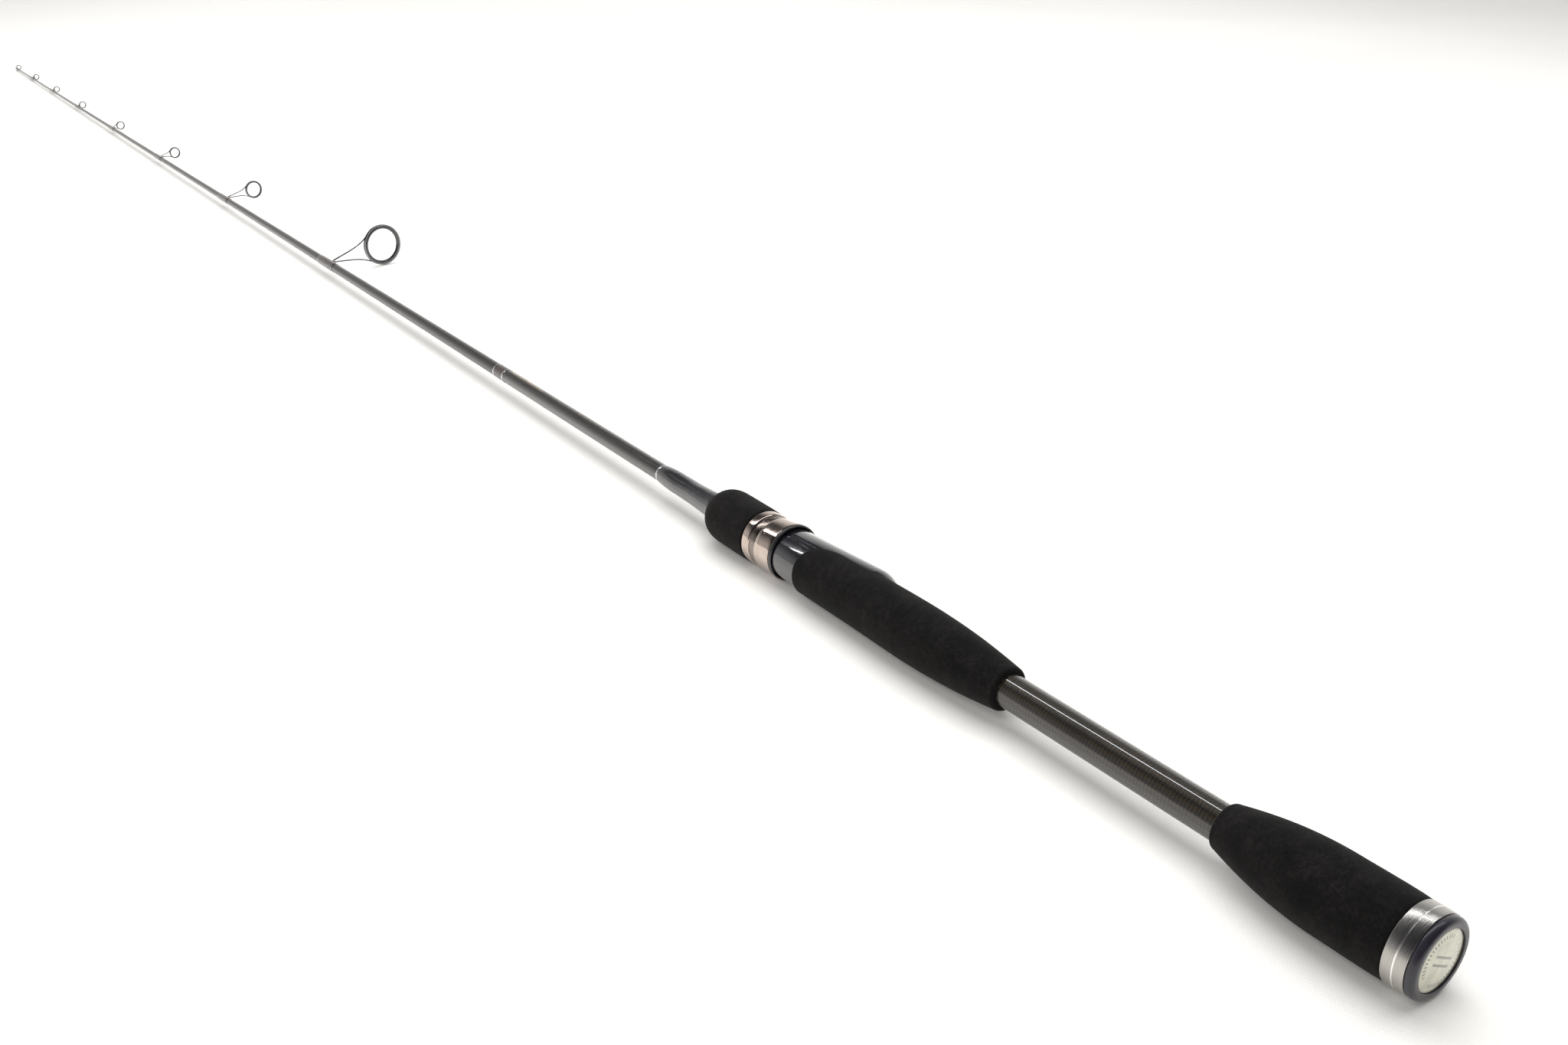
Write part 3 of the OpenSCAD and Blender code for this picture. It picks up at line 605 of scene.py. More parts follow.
def hard_foam():
    s = Shader("arbor_foam")
    s.put(Roughness=0.8)
    grain = s.noise(1800.0, 4.0, 0.6)
    s.color(s.ramp(grain, [(0.3, (0.20, 0.17, 0.13)), (0.7, (0.42, 0.37, 0.30))]))
    s.bump(grain, 0.1, 0.7)
    return s.mat


EVA = eva_foam()
CARBON = woven_carbon()
GROOVE_X = sum(span("butt_ring")) / 2
BUTT_METAL = turned_metal("butt_metal", (0.36, 0.345, 0.32), (0.60, 0.58, 0.55), 0.25, GROOVE_X)
BAND_DARK = polished_metal("champagne_band", (0.20, 0.165, 0.145), (0.30, 0.25, 0.22), 0.22)
CHAMPAGNE = polished_metal("champagne", (0.47, 0.385, 0.335), (0.62, 0.525, 0.46), 0.13)
SILVER = polished_metal("silver_trim", (0.50, 0.50, 0.52), (0.78, 0.78, 0.80), 0.16)
GUIDE_STEEL = polished_metal("guide_steel", (0.13, 0.13, 0.135), (0.28, 0.28, 0.29), 0.24)
CAP_BLACK = moulded_black("cap_black", (0.010, 0.009, 0.014), (0.020, 0.018, 0.027), (0.30, 0.42), 0.25)
LIP_DARK = moulded_black("lip_dark", (0.012, 0.011, 0.012), (0.028, 0.026, 0.027), (0.26, 0.38), 0.4)
PLUG_BLACK = moulded_black("plug_black", (0.02, 0.02, 0.022), (0.04, 0.04, 0.042), (0.4, 0.6))
GLOSS = gloss_black()
LACQUER = lacquer_black()
WRAP_BROWN = thread_wrap("thread_wrap", (0.006, 0.004, 0.0035), (0.040, 0.019, 0.014))
WRAP_RED = thread_wrap("shoulder_thread", (0.010, 0.0045, 0.004), (0.045, 0.016, 0.012))
BLANK = blank_lacquer()
LABEL = label_coat()
PEARL = pearl_disc()
CERAMIC = ceramic()
ARBOR = hard_foam()


# ---------------------------------------------------------------- butt

SPIGOT_R = 12.4
GRIP_BORE_R = 6.9


def build_butt():
    c0, c1 = span("butt_cap")
    ring0, ring1 = span("butt_ring")
    ring_r = size_r("butt_ring")
    disc_r = size_r("butt_disc")
    well_r = disc_r + 0.16
    well_x = 1.62
    face_r = ring_r - 2.0
    rim = [(0.0, well_x), (well_r, well_x), (well_r, 0.34)]
    rim += arc(disc_r + 0.42, c0 + 0.28, 0.26, 0.28, 180, 270, 5)
    rim += [(face_r, c0)]
    rim += arc(face_r, c0 + 1.75, 1.72, 1.75, -90, 0, 10)
    rim += [(ring_r - 0.30, ring0 - 0.14), (ring_r - 0.44, ring0)]
    rim += [(SPIGOT_R, ring0), (SPIGOT_R, c1), (0.0, c1)]
    turned("butt_cap_rim", rim, "butt_cap", CAP_BLACK, 128, sharp=50)

    rise, back = 0.62, 1.55
    dome = [(0.0, 0.0)]
    for k in range(1, 15):
        t = k / 14
        dome.append((disc_r * t, rise * t ** 2.2))
    dome += arc(disc_r - 0.14, 0.78, 0.14, 0.16, 0, 40, 3)
    dome += [(disc_r, back), (0.0, back)]
    turned("butt_disc_dome", dome, "butt_disc", PEARL, 128)

    mid = (ring0 + ring1) / 2
    edge = 0.16
    groove = ((0.0, -0.30), (0.10, -0.26), (0.2, -0.16), (0.24, 0.0), (0.2, 0.16), (0.10, 0.26), (0.0, 0.30))
    ring = [(SPIGOT_R, ring0)]
    ring += arc(ring_r - edge, ring0 + edge, edge, edge, -90, 0, 4)
    ring += [(ring_r - depth, mid + place) for depth, place in groove]
    ring += arc(ring_r - edge, ring1 - edge, edge, edge, 0, 90, 4)
    ring += [(SPIGOT_R, ring1)]
    turned("butt_ring_turned", ring, "butt_ring", BUTT_METAL, 160)


def foam_wobble(seed, amount):
    """Slow unevenness of a ground foam surface, as a function of station and angle."""
    rng = random.Random(seed)
    terms = [(rng.uniform(0.05, 0.22), rng.randint(1, 5), rng.uniform(0, 6.28), rng.uniform(0.4, 1.0))
             for _ in range(7)]

    def wobble(x, a):
        return amount * sum(w * math.sin(k * x + n * a + p) for k, n, p, w in terms) / 3.0
    return wobble


def build_butt_grip():
    g0, g1 = span("butt_grip")
    r_big = size_r("butt_grip")
    neck = 8.7
    taper_x = 38.0
    lip = 1.6
    x1 = g1 - lip
    pts = [(GRIP_BORE_R, g0), (r_big - 0.75, g0)]
    pts += arc(r_big - 0.95, g0 + 1.1, 0.72, 1.1, -90, 0, 6)
    pts += [(r_big - 0.08, g0 + 4.0), (r_big, g0 + 9.0)]
    for k in range(26):
        x = lerp(g0 + 12, x1, k / 25)
        t = max(0.0, (x - taper_x) / (x1 - taper_x))
        r = r_big - (r_big - neck) * t ** 1.85
        pts.append((r, x))
    pts += arc(neck - lip, x1, lip, lip, 8, 90, 8)
    pts += [(GRIP_BORE_R, g1)]
    turned("butt_grip_foam", pts, "butt_grip", EVA, 144, foam_wobble(3, 0.035), sharp=60)


# ---------------------------------------------------------------- handle

def build_handle_tube():
    t0, t1 = span("handle_tube")
    r = size_r("handle_tube")
    wall = 0.95
    n = 48
    pts = [(r, lerp(t0, t1, k / n)) for k in range(n + 1)] + [(r - wall, t1), (r - wall, t0)]
    turned("handle_tube_woven", pts, "handle_tube", CARBON, 96)


def build_rear_grip():
    g0, g1 = span("rear_grip")
    r_big = size_r("rear_grip")
    neck = 9.2
    lip = 1.7
    seam = 0.07
    x1 = g0 + lip
    crest = g1 + 3
    pts = [(GRIP_BORE_R, g0), (7.4, g0)]
    pts += arc(neck - lip, x1, lip, lip, -90, -8, 8)
    for k in range(25):
        x = lerp(x1, g1 - 0.35, k / 24)
        pts.append((neck + (r_big + 0.02 - neck) * (1 - ((crest - x) / (crest - x1)) ** 2), x))
    pts += arc(pts[-1][0] - seam, g1 - seam, seam, seam, 20, 90, 3)
    pts += [(GRIP_BORE_R, g1)]
    turned("rear_grip_foam", pts, "rear_grip", EVA, 144, foam_wobble(5, 0.03), sharp=60)


PALM_R = 12.45
PALM_ROUND = 2 * math.pi * PALM_R
PALM_POINTS = 300


def palm_edge():
    """One side of the palm grip's front edge, as (station, angle from the guide side) points."""
    p1 = span("palm_grip")[1]
    slot_h = 5.4
    scallop = 18.5
    start = p1 - scallop
    back = p1 - 41.0
    half = math.acos(slot_h / PALM_R)
    side = []
    for k in range(9):
        a = k / 8 * math.pi / 2
        side.append((back + 2.6 * (1 - math.cos(a)), half * 0.82 * math.sin(a)))
    corner_x, corner_a = side[-1]
    for k in range(1, 13):
        t = k / 12
        side.append((lerp(corner_x, start, t), lerp(corner_a, half, smooth(t * 3.2))))
    for k in range(1, 33):
        a = math.pi / 2 * k / 32
        h = slot_h - (PALM_R + slot_h) * (1 - math.cos(a))
        side.append((start + scallop * math.sin(a), math.acos(max(-1.0, min(1.0, h / PALM_R)))))
    return side


def even_loop(points, count):
    """Evenly spaced points on the closed edge round the grip."""
    loop = points + [(points[0][0], points[0][1] + PALM_ROUND)]
    dist = [0.0]
    for p, q in zip(loop, loop[1:]):
        dist.append(dist[-1] + math.hypot(q[0] - p[0], q[1] - p[1]))
    out = []
    j = 0
    for k in range(count):
        d = dist[-1] * k / count
        while dist[j + 1] < d:
            j += 1
        t = (d - dist[j]) / (dist[j + 1] - dist[j])
        out.append((lerp(loop[j][0], loop[j + 1][0], t), lerp(loop[j][1], loop[j + 1][1], t)))
    return out


def neighbours(points, k, period):
    """The points before and after point k of a closed list whose second value wraps at the period."""
    last = len(points) - 1
    before_x, before_s = points[k - 1]
    after_x, after_s = points[(k + 1) % len(points)]
    return (before_x, before_s - (period if k == 0 else 0)), (after_x, after_s + (period if k == last else 0))


def eased(points, period, rounds):
    """A closed list of points, each moved towards its neighbours."""
    for _ in range(rounds):
        moved = []
        for k, (x, s) in enumerate(points):
            before, after = neighbours(points, k, period)
            moved.append(((before[0] + 2 * x + after[0]) / 4, (before[1] + 2 * s + after[1]) / 4))
        points = moved
    return points


def edge_normals(edge):
    """Unit directions across the edge, towards the grip's back end, eased at its corners."""
    normals = []
    for k in range(len(edge)):
        (ax, a_s), (bx, b_s) = neighbours(edge, k, PALM_ROUND)
        length = math.hypot(bx - ax, b_s - a_s)
        normals.append((-(b_s - a_s) / length, (bx - ax) / length))
    normals = eased(normals, 0, 6)
    return [(x / math.hypot(x, s), s / math.hypot(x, s)) for x, s in normals]


def build_palm_grip():
    """A sleeve with a slot for the seat and a scalloped front.

    It is drawn as rings of points, from the back end to the rounded front edge and back along the inside.
    """
    p0, p1 = span("palm_grip")
    back_r = size_r("palm_grip")
    inner = 11.22
    nose = 1.15
    side = [(x, a * PALM_R) for x, a in palm_edge()]
    mirrored = [(x, PALM_ROUND - s) for x, s in reversed(side[:-1])]
    edge = eased(even_loop(side + mirrored[:-1], PALM_POINTS), PALM_ROUND, 3)
    normals = edge_normals(edge)
    wobble = foam_wobble(8, 0.03)

    def outer(x):
        return lerp(back_r, PALM_R, smooth((x - p0) / (p1 - p0) * 1.4))

    def point(x, s, depth=0.0, r=None):
        """A point on the sleeve. The angle runs from the guide side (-Y) towards +Z."""
        a = s / PALM_R
        if r is None:
            r = outer(x) - depth + wobble(x, a)
        return (x, -r * math.cos(a), r * math.sin(a))

    def moved_back(distance):
        return [(x + nx * distance, s + ns * distance) for (x, s), (nx, ns) in zip(edge, normals)]

    even = [PALM_ROUND * k / PALM_POINTS for k in range(PALM_POINTS)]
    rings = [[point(p0, s, r=GRIP_BORE_R) for s in even], [point(p0, s, 0.07) for s in even]]
    front = moved_back(nose)
    body_rows = 26
    for i in range(body_rows + 1):
        t = i / body_rows
        w = smooth(t) ** 1.5
        rings.append([point(lerp(p0 + 0.25, x, t), lerp(s0, s, w)) for s0, (x, s) in zip(even, front)])
    round_rows = 7
    for i in range(1, round_rows + 1):
        a = math.pi / 2 * i / round_rows
        depth = nose * (1 - math.cos(a))
        rings.append([point(x, s, depth) for x, s in moved_back(nose * (1 - math.sin(a)))])
    rings.append([point(x, s, r=inner) for x, s in edge])
    rings.append([point(p0 + 3.2, s, r=inner - 0.6) for s in even])
    rings.append([point(p0 + 3.0, s, r=GRIP_BORE_R) for s in even])

    faces = []
    for i in range(len(rings)):
        p = i * PALM_POINTS
        q = (i + 1) % len(rings) * PALM_POINTS
        for k in range(PALM_POINTS):
            j = (k + 1) % PALM_POINTS
            faces.append((p + k, q + k, q + j, p + j))
    verts = [v for ring in rings for v in ring]
    ob = add_mesh("palm_grip_foam", verts, faces, "palm_grip", EVA)
    sharpen(ob, 70)


CHECK_BORE_R = 7.35
NUT_BORE_R = 11.62


def build_foregrip():
    g0, g1 = span("foregrip")
    r = size_r("foregrip")
    core_end = span("nut_core")[1]
    core_r = 9.35
    nose = 9.5
    lip_x = g1 - 5.0
    front_r = size_r("winding_check")
    pts = [(NUT_BORE_R, g0), (r - 0.7, g0)]
    pts += arc(r - 0.75, g0 + 0.8, 0.65, 0.8, -90, 0, 6)
    pts += [(r - 0.04, g0 + 3.0), (r, g0 + 6.0), (r + 0.02, g0 + 12.0), (r, g0 + 20.0)]
    n = 24
    for k in range(n + 1):
        a = math.pi / 2 * k / n
        pts.append((front_r + (r - front_r) * math.cos(a) ** 0.92, g1 - nose + nose * math.sin(a)))
    pts += [(CHECK_BORE_R, g1), (CHECK_BORE_R, lip_x), (core_r, lip_x)]
    pts += [(core_r, core_end), (NUT_BORE_R, core_end)]
    turned("foregrip_foam", pts, "foregrip", EVA, 144, foam_wobble(11, 0.03), sharp=60)


def build_nut_ring():
    """Two pieces in place of the CAD ring: a darker band, and a polished bead beside it."""
    r0, r1 = span("nut_ring")
    r = size_r("nut_ring")
    bead_x = r1 - 5.4
    band_r = r - 0.62
    pts = [(NUT_BORE_R, r0)] + arc(band_r - 0.12, r0 + 0.12, 0.12, 0.12, -90, 0, 3)
    pts += [(band_r, bead_x), (NUT_BORE_R, bead_x)]
    turned("nut_band_dark", pts, "nut_ring", BAND_DARK, 144, sharp=55)
    pts = [(NUT_BORE_R, bead_x)] + arc(r - 0.75, bead_x + 0.8, 0.75, 0.8, -90, 0, 9)
    pts += [(r - 0.02, lerp(bead_x, r1, 0.5))]
    pts += arc(r - 0.45, r1 - 0.7, 0.42, 0.7, 0, 85, 8)
    pts += [(NUT_BORE_R, r1)]
    turned("nut_bead_polished", pts, "nut_ring", CHAMPAGNE, 144, sharp=55)


def build_hood():
    refined("hood_sleeve", CHAMPAGNE, bevel=0.12)
    refined("hood_insert", LIP_DARK, bevel=0.15)


def build_winding_check():
    c0, c1 = span("winding_check")
    r = size_r("winding_check")
    pts = [(CHECK_BORE_R, c0)] + arc(r - 0.1, c0 + 0.1, 0.1, 0.1, -90, 0, 3)
    pts += arc(r - 0.5, c1 - 0.5, 0.5, 0.5, 0, 90, 6) + [(CHECK_BORE_R, c1)]
    turned("winding_check_turned", pts, "winding_check", SILVER, 96)


def build_seat():
    refined("seat_body", GLOSS, bevel=0.35, angle=30)


# ---------------------------------------------------------------- blank and wraps

TAPER_X = 1250.0
BLANK_X0, BLANK_X1 = span("blank")
BLANK_STOPS = [(BLANK_X0, 5.1), (span("band_front")[0], 3.9), (TAPER_X, 2.1), (BLANK_X1, 0.75)]


def blank_r(x):
    """Radius of the blank at a station: three straight tapers, as in the CAD outline."""
    x = max(BLANK_STOPS[0][0], min(BLANK_STOPS[-1][0], x))
    for (xa, ra), (xb, rb) in zip(BLANK_STOPS, BLANK_STOPS[1:]):
        if x <= xb:
            return lerp(ra, rb, (x - xa) / (xb - xa))
    return BLANK_STOPS[-1][1]


def build_blank():
    b0, b1 = span("blank")
    bore_r = blank_r(b0) - 0.9
    n = 220
    outer = [(blank_r(x), x) for x in (lerp(b0, b1, k / n) for k in range(n + 1))]
    bore = [(0.0, b1), (0.0, 1600.0), (1.1, TAPER_X), (3.0, 615.0), (bore_r, b0 + 0.01)]
    turned("blank_lacquered", [(bore_r, b0)] + outer + bore, "blank", BLANK, 48, sharp=50)


def build_seat_wrap():
    """Epoxy, thick where it leaves the foregrip and thin at the blank, with a low swell in between."""
    w0, w1 = span("seat_wrap")
    show_x = span("foregrip")[1] + 4
    n = 60
    pts = [(4.4, w0), (blank_r(w0) + 2.3, w0), (blank_r(w0) + 2.4, w0 + 0.1)]
    for k in range(n + 1):
        t = k / n
        x = lerp(show_x, w1, t)
        swell = 0.3 * math.sin(math.pi * t ** 2.6) ** 2
        thick = 0.8 + 1.6 * (1 - t) ** 2.6 + swell - 0.38 * t ** 16
        pts.append((blank_r(x) + thick, x))
    pts += [(4.3, w1)]
    turned("seat_wrap_epoxy", pts, "seat_wrap", LACQUER, 96, foam_wobble(21, 0.05), sharp=55)


def band(node, name, extra, bead=0.06):
    """A metal trim band with a low bead across it."""
    b0, b1 = span(node)
    pts = [(blank_r(b0) - 0.02, b0)]
    for k in range(7):
        t = k / 6
        x = lerp(b0, b1, t)
        pts.append((blank_r(x) + extra - bead + bead * math.sin(math.pi * t), x))
    pts += [(blank_r(b1) - 0.02, b1)]
    turned(name, pts, node, SILVER, 64, sharp=60)


def sleeve(name, node, mat, steps, thickness, segments=80, sharp=55):
    """A thin coat on the blank over the node's length. thickness(t) is given for t from 0 to 1."""
    x0, x1 = span(node)
    pts = [(blank_r(x0), x0)]
    for k in range(steps + 1):
        t = k / steps
        x = lerp(x0, x1, t)
        pts.append((blank_r(x) + thickness(t), x))
    pts += [(blank_r(x1), x1)]
    turned(name, pts, node, mat, segments, sharp=sharp)


def build_sleeves():
    band("band_rear", "band_rear_trim", 0.42)
    band("band_mid", "band_mid_trim", 0.36)
    band("band_front", "band_front_trim", 0.2, 0.04)
    band("stripper_band", "stripper_band_trim", 0.42)
    sleeve("label_section_coat", "label_section", LABEL, 60, lambda t: 0.2)
    sleeve("shoulder_wrap_thread", "shoulder_wrap", WRAP_RED, 12,
           lambda t: lerp(0.26, 0.08, t) + 0.04 * math.sin(math.pi * t))
    sleeve("tip_wrap_thread", "tip_wrap", WRAP_BROWN, 10,
           lambda t: 0.4 * smooth(t * 1.5) ** 0.8 + 0.02, 40, 60)


# ---------------------------------------------------------------- guides

def tube_along(points, radii, sides, squash=1.0):
    """Points and faces of a closed tube along a path. squash flattens its section."""
    verts, faces = [], []
    pts = [Vector(p) for p in points]
    side = None
    for i, p in enumerate(pts):
        d = (pts[min(i + 1, len(pts) - 1)] - pts[max(i - 1, 0)]).normalized()
        if side is None:
            side = d.cross(Vector((1, 0, 0)))
            if side.length < 1e-3:
                side = d.cross(Vector((0, 0, 1)))
        side = (side - d * side.dot(d)).normalized()
        up = d.cross(side)
        for k in range(sides):
            a = 2 * math.pi * k / sides
            v = p + side * (radii[i] * math.cos(a)) + up * (radii[i] * math.sin(a) * squash)
            verts.append(tuple(v))
    for i in range(len(pts) - 1):
        for k in range(sides):
            j = (k + 1) % sides
            faces.append((i * sides + k, i * sides + j, (i + 1) * sides + j, (i + 1) * sides + k))
    faces.append(tuple(range(sides)))
    last = (len(pts) - 1) * sides
    faces.append(tuple(last + k for k in reversed(range(sides))))
    return verts, faces


def merge(parts):
    verts, faces = [], []
    for v, f in parts:
        base = len(verts)
        verts += v
        faces += [tuple(base + i for i in face) for face in f]
    return verts, faces


LEAN = math.radians(8)
LEAN_UP = Vector((math.sin(LEAN), -math.cos(LEAN), 0))


def ring_facts(node_frame, node_ring):
    """Centre and hoop diameter of a guide in mm, from its CAD boxes."""
    low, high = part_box(node_ring)
    centre = (low + high) / 2 / MM
    return Vector((centre.x, centre.y, 0.0)), 2 * size_r(node_frame)


def hoop_wall(d):
    """Thickness of the frame's hoop for a guide of diameter d."""
    return 0.3 + 0.02 * d


def hoop_points(centre, profile, segments):
    """Ring about a leaning axis. profile is (radius, station along the ring's axis)."""
    axis = Vector((math.cos(LEAN), math.sin(LEAN), 0))
    side = Vector((0, 0, 1))
    verts, faces = [], []
    m = len(profile)
    for k in range(segments):
        a = 2 * math.pi * k / segments
        out = LEAN_UP * math.cos(a) + side * math.sin(a)
        for r, x in profile:
            verts.append(tuple(centre + out * r + axis * x))
    for k in range(segments):
        j = (k + 1) % segments
        for i in range(m):
            n = (i + 1) % m
            faces.append((k * m + i, k * m + n, j * m + n, j * m + i))
    return verts, faces


def build_ring_pair(tag, centre, d, frame_parts, node_frame, node_ring):
    """The frame, whose hoop is joined to its legs, and the rounded ceramic ring inside it."""
    segments = 96 if d > 12 else 56
    w = 0.9 + 0.04 * d
    ro = d / 2
    ri = ro - hoop_wall(d)
    b = min(0.2, hoop_wall(d) * 0.4)
    hoop = [(ri, -w / 2)] + arc(ro - b, -w / 2 + b, b, b, -90, 0, 4) + arc(ro - b, w / 2 - b, b, b, 0, 90, 4)
    hoop += [(ri, w / 2)]
    verts, faces = merge(frame_parts + [hoop_points(centre, hoop, segments)])
    ob = add_mesh(tag + "_frame", verts, faces, node_frame, GUIDE_STEEL)
    sharpen(ob, 55)

    inner = ro - (0.14 + 0.1 * d)
    half_w = (w + 0.3) / 2
    mid = (ri + inner) / 2
    half = (ri - inner) / 2
    profile = [(ri - 0.01, -half_w + 0.05)]
    for k in range(15):
        a = math.radians(lerp(-80, -280, k / 14))
        across = math.copysign(abs(math.cos(a)) ** 0.7, math.cos(a))
        along = math.copysign(abs(math.sin(a)) ** 0.8, math.sin(a))
        profile.append((mid + half * across, half_w * along))
    profile += [(ri - 0.01, half_w - 0.05)]
    verts, faces = hoop_points(centre, profile, segments)
    add_mesh(tag + "_ring", verts, faces, node_ring, CERAMIC)


def on_hoop(centre, r, angle, side):
    """A point of the hoop, at an angle from its point nearest the blank towards one side."""
    return centre - LEAN_UP * (r * math.cos(angle)) + Vector((0, 0, side * r * math.sin(angle)))


FOOT_H = 0.5


def guide_stem(x, br, foot_len):
    """The flattened foot, tapering to its end, and the stem that turns up out of it."""
    outline = ((foot_len, 0.12), (foot_len * 0.75, 0.2), (foot_len * 0.4, 0.26), (1.6, 0.3), (0.4, 0.55),
               (-0.05, 0.95), (0, FOOT_H + 0.75))
    path = [(x + along, -(br + rise), 0) for along, rise in outline]
    return tube_along(path, [0.35, 0.6, 0.75, 0.8, 0.75, 0.65, 0.5], 12, 0.55)


def guide_leg(x, br, centre, d, side):
    """A leg that leaves the stem and runs into the hoop along its curve."""
    r = d / 2 - hoop_wall(d) / 2
    thick = 0.27 + 0.009 * d
    spread = math.radians(49)
    start = Vector((x, -(br + FOOT_H + 0.35), side * 0.3))
    end = on_hoop(centre, r, spread, side)
    tangent = (LEAN_UP * math.sin(spread) + Vector((0, 0, side * math.cos(spread)))).normalized()
    reach = (end - start).length
    c1 = start + (end - start) * 0.30 + Vector((0, 0, -side * 0.02 * reach))
    c2 = end - tangent * (0.34 * reach)
    points, radii = [], []
    for k in range(15):
        t = k / 14
        q = start * (1 - t) ** 3 + c1 * 3 * t * (1 - t) ** 2 + c2 * 3 * t * t * (1 - t) + end * t ** 3
        points.append(tuple(q))
        radii.append(lerp(thick * 1.15, thick * 0.95, smooth(t * 1.5)))
    return tube_along(points, radii, 12)


def guide_wrap(i, x, foot_len):
    """Thread round the blank, with smooth epoxy ends and a swell along its underside."""
    node = "guide_wrap_%d" % i
    w0, w1 = span(node)
    ridge_to = x + foot_len + 0.6

    def swell(at, a):
        """Extra radius near the wrap's lowest line (-Z), over the foot's length."""
        from_low = math.atan2(math.sin(a + math.pi / 2), math.cos(a + math.pi / 2))
        wide = 1.25 / max(blank_r(at), 0.8)
        over_foot = smooth((at - (x - 1.5)) / 2.0) * (1 - smooth((at - ridge_to) / 1.8))
        return 0.46 * math.exp(-(from_low / wide) ** 2) * over_foot

    n = 44
    pts = [(blank_r(w0) - 0.01, w0)]
    for k in range(n + 1):
        t = k / n
        at = lerp(w0, w1, t)
        end = smooth(min((at - w0) / 1.1, (w1 - at) / 1.6)) ** 0.7
        pts.append((blank_r(at) + 0.05 + (0.27 + 0.06 * math.sin(math.pi * t)) * end, at))
    pts += [(blank_r(w1) - 0.01, w1)]
    turned("guide_%d_wrap" % i, pts, node, WRAP_BROWN, 56, swell, sharp=60)


def build_guides():
    for i in range(1, 8):
        node_frame, node_ring = "guide_frame_%d" % i, "guide_ring_%d" % i
        centre, d = ring_facts(node_frame, node_ring)
        x = centre.x - 0.1 * (-centre.y - 5)
        br = blank_r(x)
        foot_len = 8 + 0.1 * d - 0.6
        parts = [guide_stem(x, br, foot_len)] + [guide_leg(x, br, centre, d, side) for side in (-1, 1)]
        build_ring_pair("guide_%d" % i, centre, d, parts, node_frame, node_ring)
        guide_wrap(i, x, foot_len)


def build_tip():
    centre, d = ring_facts("tip_frame", "tip_ring")
    t0, t1 = span("tip_tube")
    tr = size_r("tip_tube")
    r = d / 2 - hoop_wall(d) / 2
    low = centre - LEAN_UP * r
    parts = []
    for side in (-1, 1):
        end = on_hoop(centre, r, math.radians(75), side)
        start = Vector((t1 + 0.1, -0.15, side * 0.3))
        mid = (start + end) / 2 + Vector((0, 0.25, side * 0.25))
        points = []
        for k in range(9):
            t = k / 8
            points.append(tuple(start * (1 - t) ** 2 + mid * 2 * t * (1 - t) + end * t * t))
        parts.append(tube_along(points, [0.3] * 9, 10))
    root = Vector((t1 + 0.1, 0, 0))
    parts.append(tube_along([root, root.lerp(low, 0.5), low], [0.36, 0.33, 0.3], 10))
    parts.append(tube_along([(t0 + 5, -(tr - 0.1), 0), (t0 + 10, -(tr + 0.35), 0), low], [0.25] * 3, 10))
    build_ring_pair("tip", centre, d, parts, "tip_frame", "tip_ring")

    back_x = t1 - 0.8
    pts = [(blank_r(t0), t0)] + arc(tr - 0.1, t0 + 0.1, 0.1, 0.1, -90, 0, 3)
    pts += arc(tr - 0.45, t1 - 0.45, 0.45, 0.45, 0, 80, 6) + [(0.0, t1)]
    pts += [(0.0, back_x), (blank_r(back_x), back_x)]
    turned("tip_tube_drawn", pts, "tip_tube", GUIDE_STEEL, 40, sharp=55)


def paint_hidden():
    """Hidden CAD nodes keep their shape and take a material."""
    for node, mat in (("butt_plug", PLUG_BLACK), ("nut_core", PLUG_BLACK), ("tube_arbor_rear", ARBOR),
                      ("tube_arbor_front", ARBOR), ("seat_arbor", ARBOR), ("barrel_arbor", ARBOR)):
        data = frame["nodes"][node].data
        data.materials.clear()
        data.materials.append(mat)


build_butt()
build_butt_grip()
build_handle_tube()
build_rear_grip()
build_palm_grip()
build_seat()
build_nut_ring()
build_hood()
build_winding_check()
build_foregrip()
build_blank()
build_seat_wrap()
build_sleeves()
build_guides()
build_tip()
paint_hidden()


# ---------------------------------------------------------------- floor, light and camera

def floor_plane():
    """The rod rests on its butt grip and its tip ring, and lies a little rolled towards the guides."""
    roll = math.radians(8.0)
    butt_x = 0.025
    gap = 0.1 * MM
    butt_r = size_r("butt_grip") * MM
    tip_r = size_r("tip_frame") * MM
    low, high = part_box("tip_ring")
    tip = (low + high) / 2
    slope = (tip_r - butt_r + math.sin(roll) * tip.y) / (tip.x - butt_x)
    n = Vector((slope, -math.sin(roll), math.cos(roll))).normalized()
    p = Vector((butt_x, 0, 0)) - n * (butt_r + gap)
    return p, n


def build_floor():
    s = Shader("pale_cloth")
    s.put(Specular_IOR_Level=0.2)
    pitch = 1.1
    x_wave, y_wave = (s.math("SINE", s.math("MULTIPLY", v, 2 * math.pi / pitch)) for v in s.xyz()[:2])
    weave = s.math("MULTIPLY", x_wave, y_wave)
    cloud = s.noise(1.6, 3.0, 0.5)
    s.color(s.ramp(cloud, [(0.3, (0.80, 0.79, 0.77)), (0.7, (0.86, 0.855, 0.84))]))
    s.rough(s.map(weave, -1.0, 1.0, 0.85, 0.95))
    s.bump(weave, 0.05, 0.3)
    p, n = floor_plane()
    me = bpy.data.meshes.new("floor")
    half = 3.6
    corners = [(-half, -half, 0), (half, -half, 0), (half, half, 0), (-half, half, 0)]
    me.from_pydata(corners, [], [(0, 1, 2, 3)])
    ob = bpy.data.objects.new("floor", me)
    scene.collection.objects.link(ob)
    me.materials.append(s.mat)
    ob.matrix_world = Matrix.Translation(p) @ n.to_track_quat("Z", "Y").to_matrix().to_4x4()


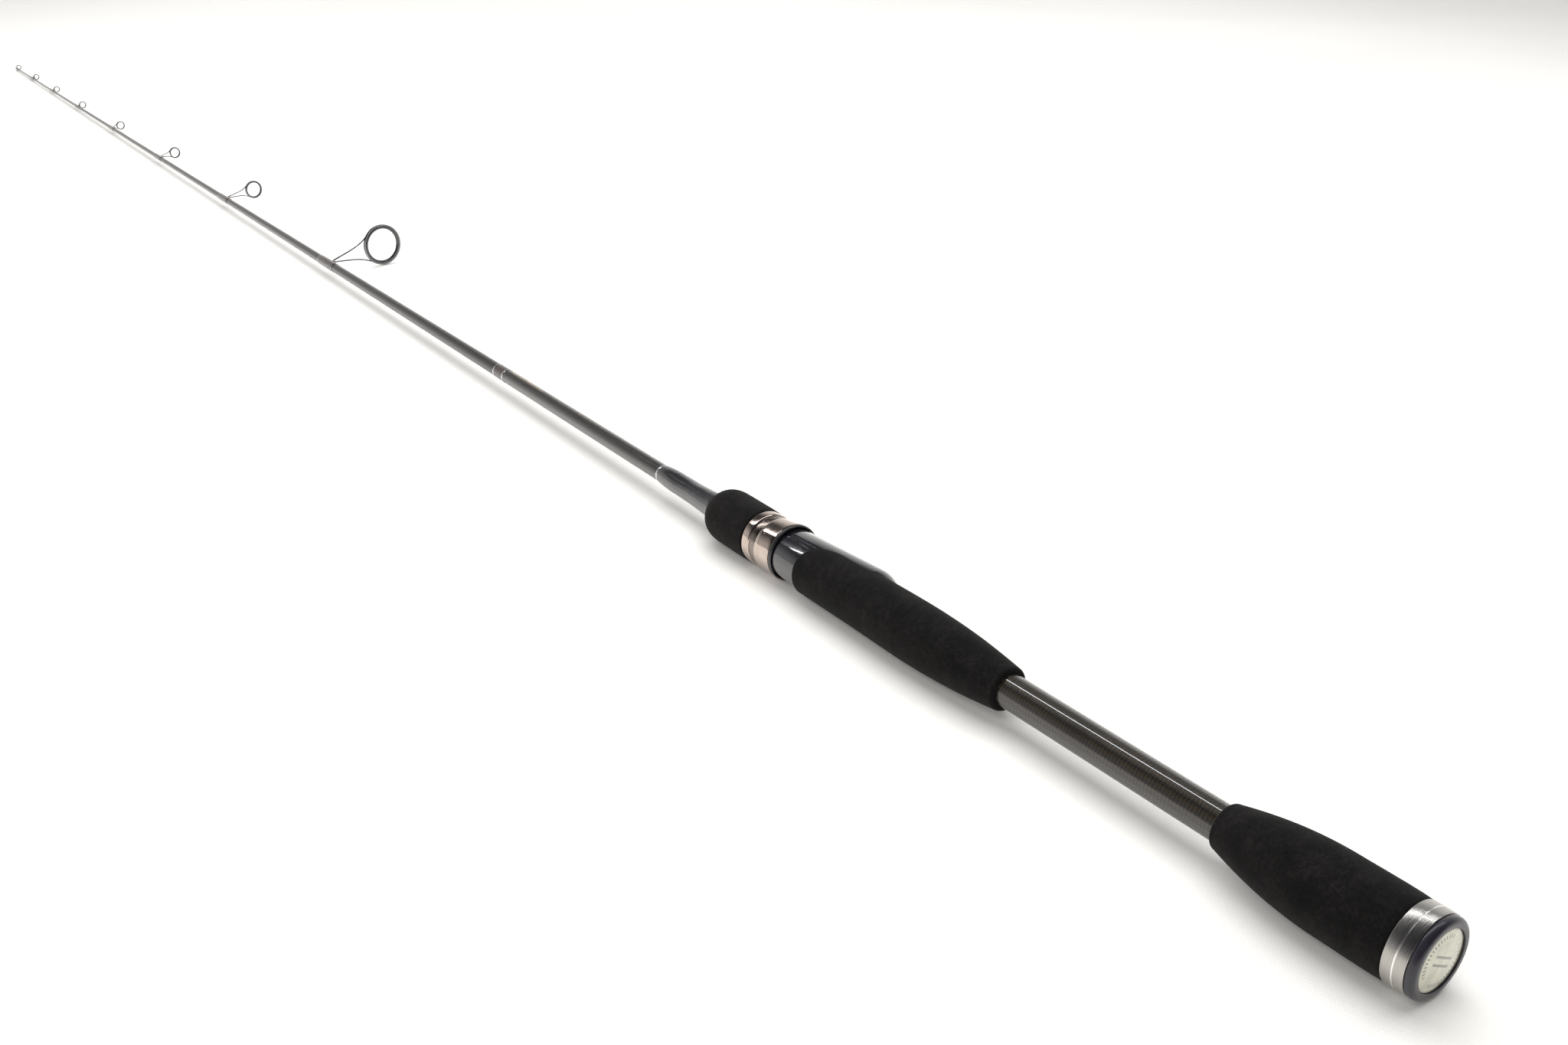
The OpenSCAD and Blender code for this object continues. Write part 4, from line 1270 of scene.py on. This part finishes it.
def area(name, place, target, size, energy, color):
    """A rectangular lamp at a place that faces a target, in metres and watts."""
    data = bpy.data.lights.new(name, "AREA")
    data.energy = energy
    data.color = color
    data.shape = "RECTANGLE"
    data.size, data.size_y = size
    ob = bpy.data.objects.new(name, data)
    scene.collection.objects.link(ob)
    d = Vector(target) - Vector(place)
    ob.matrix_world = Matrix.Translation(place) @ d.to_track_quat("-Z", "Y").to_matrix().to_4x4()
    return ob


def build_light():
    """A white sweep: bright low down on the far side, dark overhead and behind the camera."""
    world = bpy.data.worlds.new("studio")
    scene.world = world
    world.use_nodes = True
    s = Nodes(world.node_tree)
    x, y, z = s.xyz_of(s.new("ShaderNodeTexCoord").outputs["Generated"])
    far = s.math("ADD", s.math("MULTIPLY", x, 0.85), s.math("MULTIPLY", y, -0.53))
    far = s.math("MULTIPLY_ADD", far, 0.5, 0.5)
    rise = s.math("MAXIMUM", z, 0.0)
    around = s.ramp(far, [(0.0, (0.10, 0.10, 0.12)), (0.45, (0.30, 0.30, 0.32)), (0.75, (1.0, 0.995, 0.98))])
    over = s.ramp(rise, [(0.0, (1.0, 1.0, 1.0)), (0.28, (0.80, 0.80, 0.80)), (0.55, (0.07, 0.07, 0.075))])
    background = world.node_tree.nodes["Background"]
    s.link(s.mix(1.0, around, over, "MULTIPLY"), background.inputs["Color"])
    background.inputs["Strength"].default_value = 1.02
    area("strip", (1.0, -0.55, 1.5), (0.5, 0.0, 0.0), (3.4, 0.09), 16.0, (0.97, 0.98, 1.0))
    for name, place, target, size, power in (
            ("ceiling", (0.9, -0.7, 2.0), (0.8, -0.1, 0.0), (3.8, 2.4), 58.0),
            ("fill", (0.2, 1.5, 1.3), (0.6, 0.0, 0.0), (2.8, 1.8), 34.0),
            ("far", (2.4, -1.7, 1.5), (2.3, -1.4, 0.0), (3.2, 2.4), 24.0)):
        lamp = area(name, place, target, size, power, (1.0, 0.985, 0.96))
        lamp.visible_glossy = False


def build_camera():
    cam = bpy.data.cameras.new("camera")
    ob = bpy.data.objects.new("camera", cam)
    scene.collection.objects.link(ob)
    cam.sensor_width = 36.0
    cam.lens = 35.16
    cam.clip_start = 0.01
    cam.clip_end = 60.0
    right = Vector((-0.5754, -0.8099, -0.1138))
    up = Vector((0.3477, -0.3682, 0.8624))
    back = right.cross(up)
    place = Vector((-0.1731, 0.3079, 0.3478))
    m = Matrix((right, up, back)).transposed().to_4x4()
    ob.matrix_world = Matrix.Translation(place) @ m
    scene.camera = ob


scene.view_settings.view_transform = "Standard"
scene.view_settings.look = "None"
build_floor()
build_light()
build_camera()
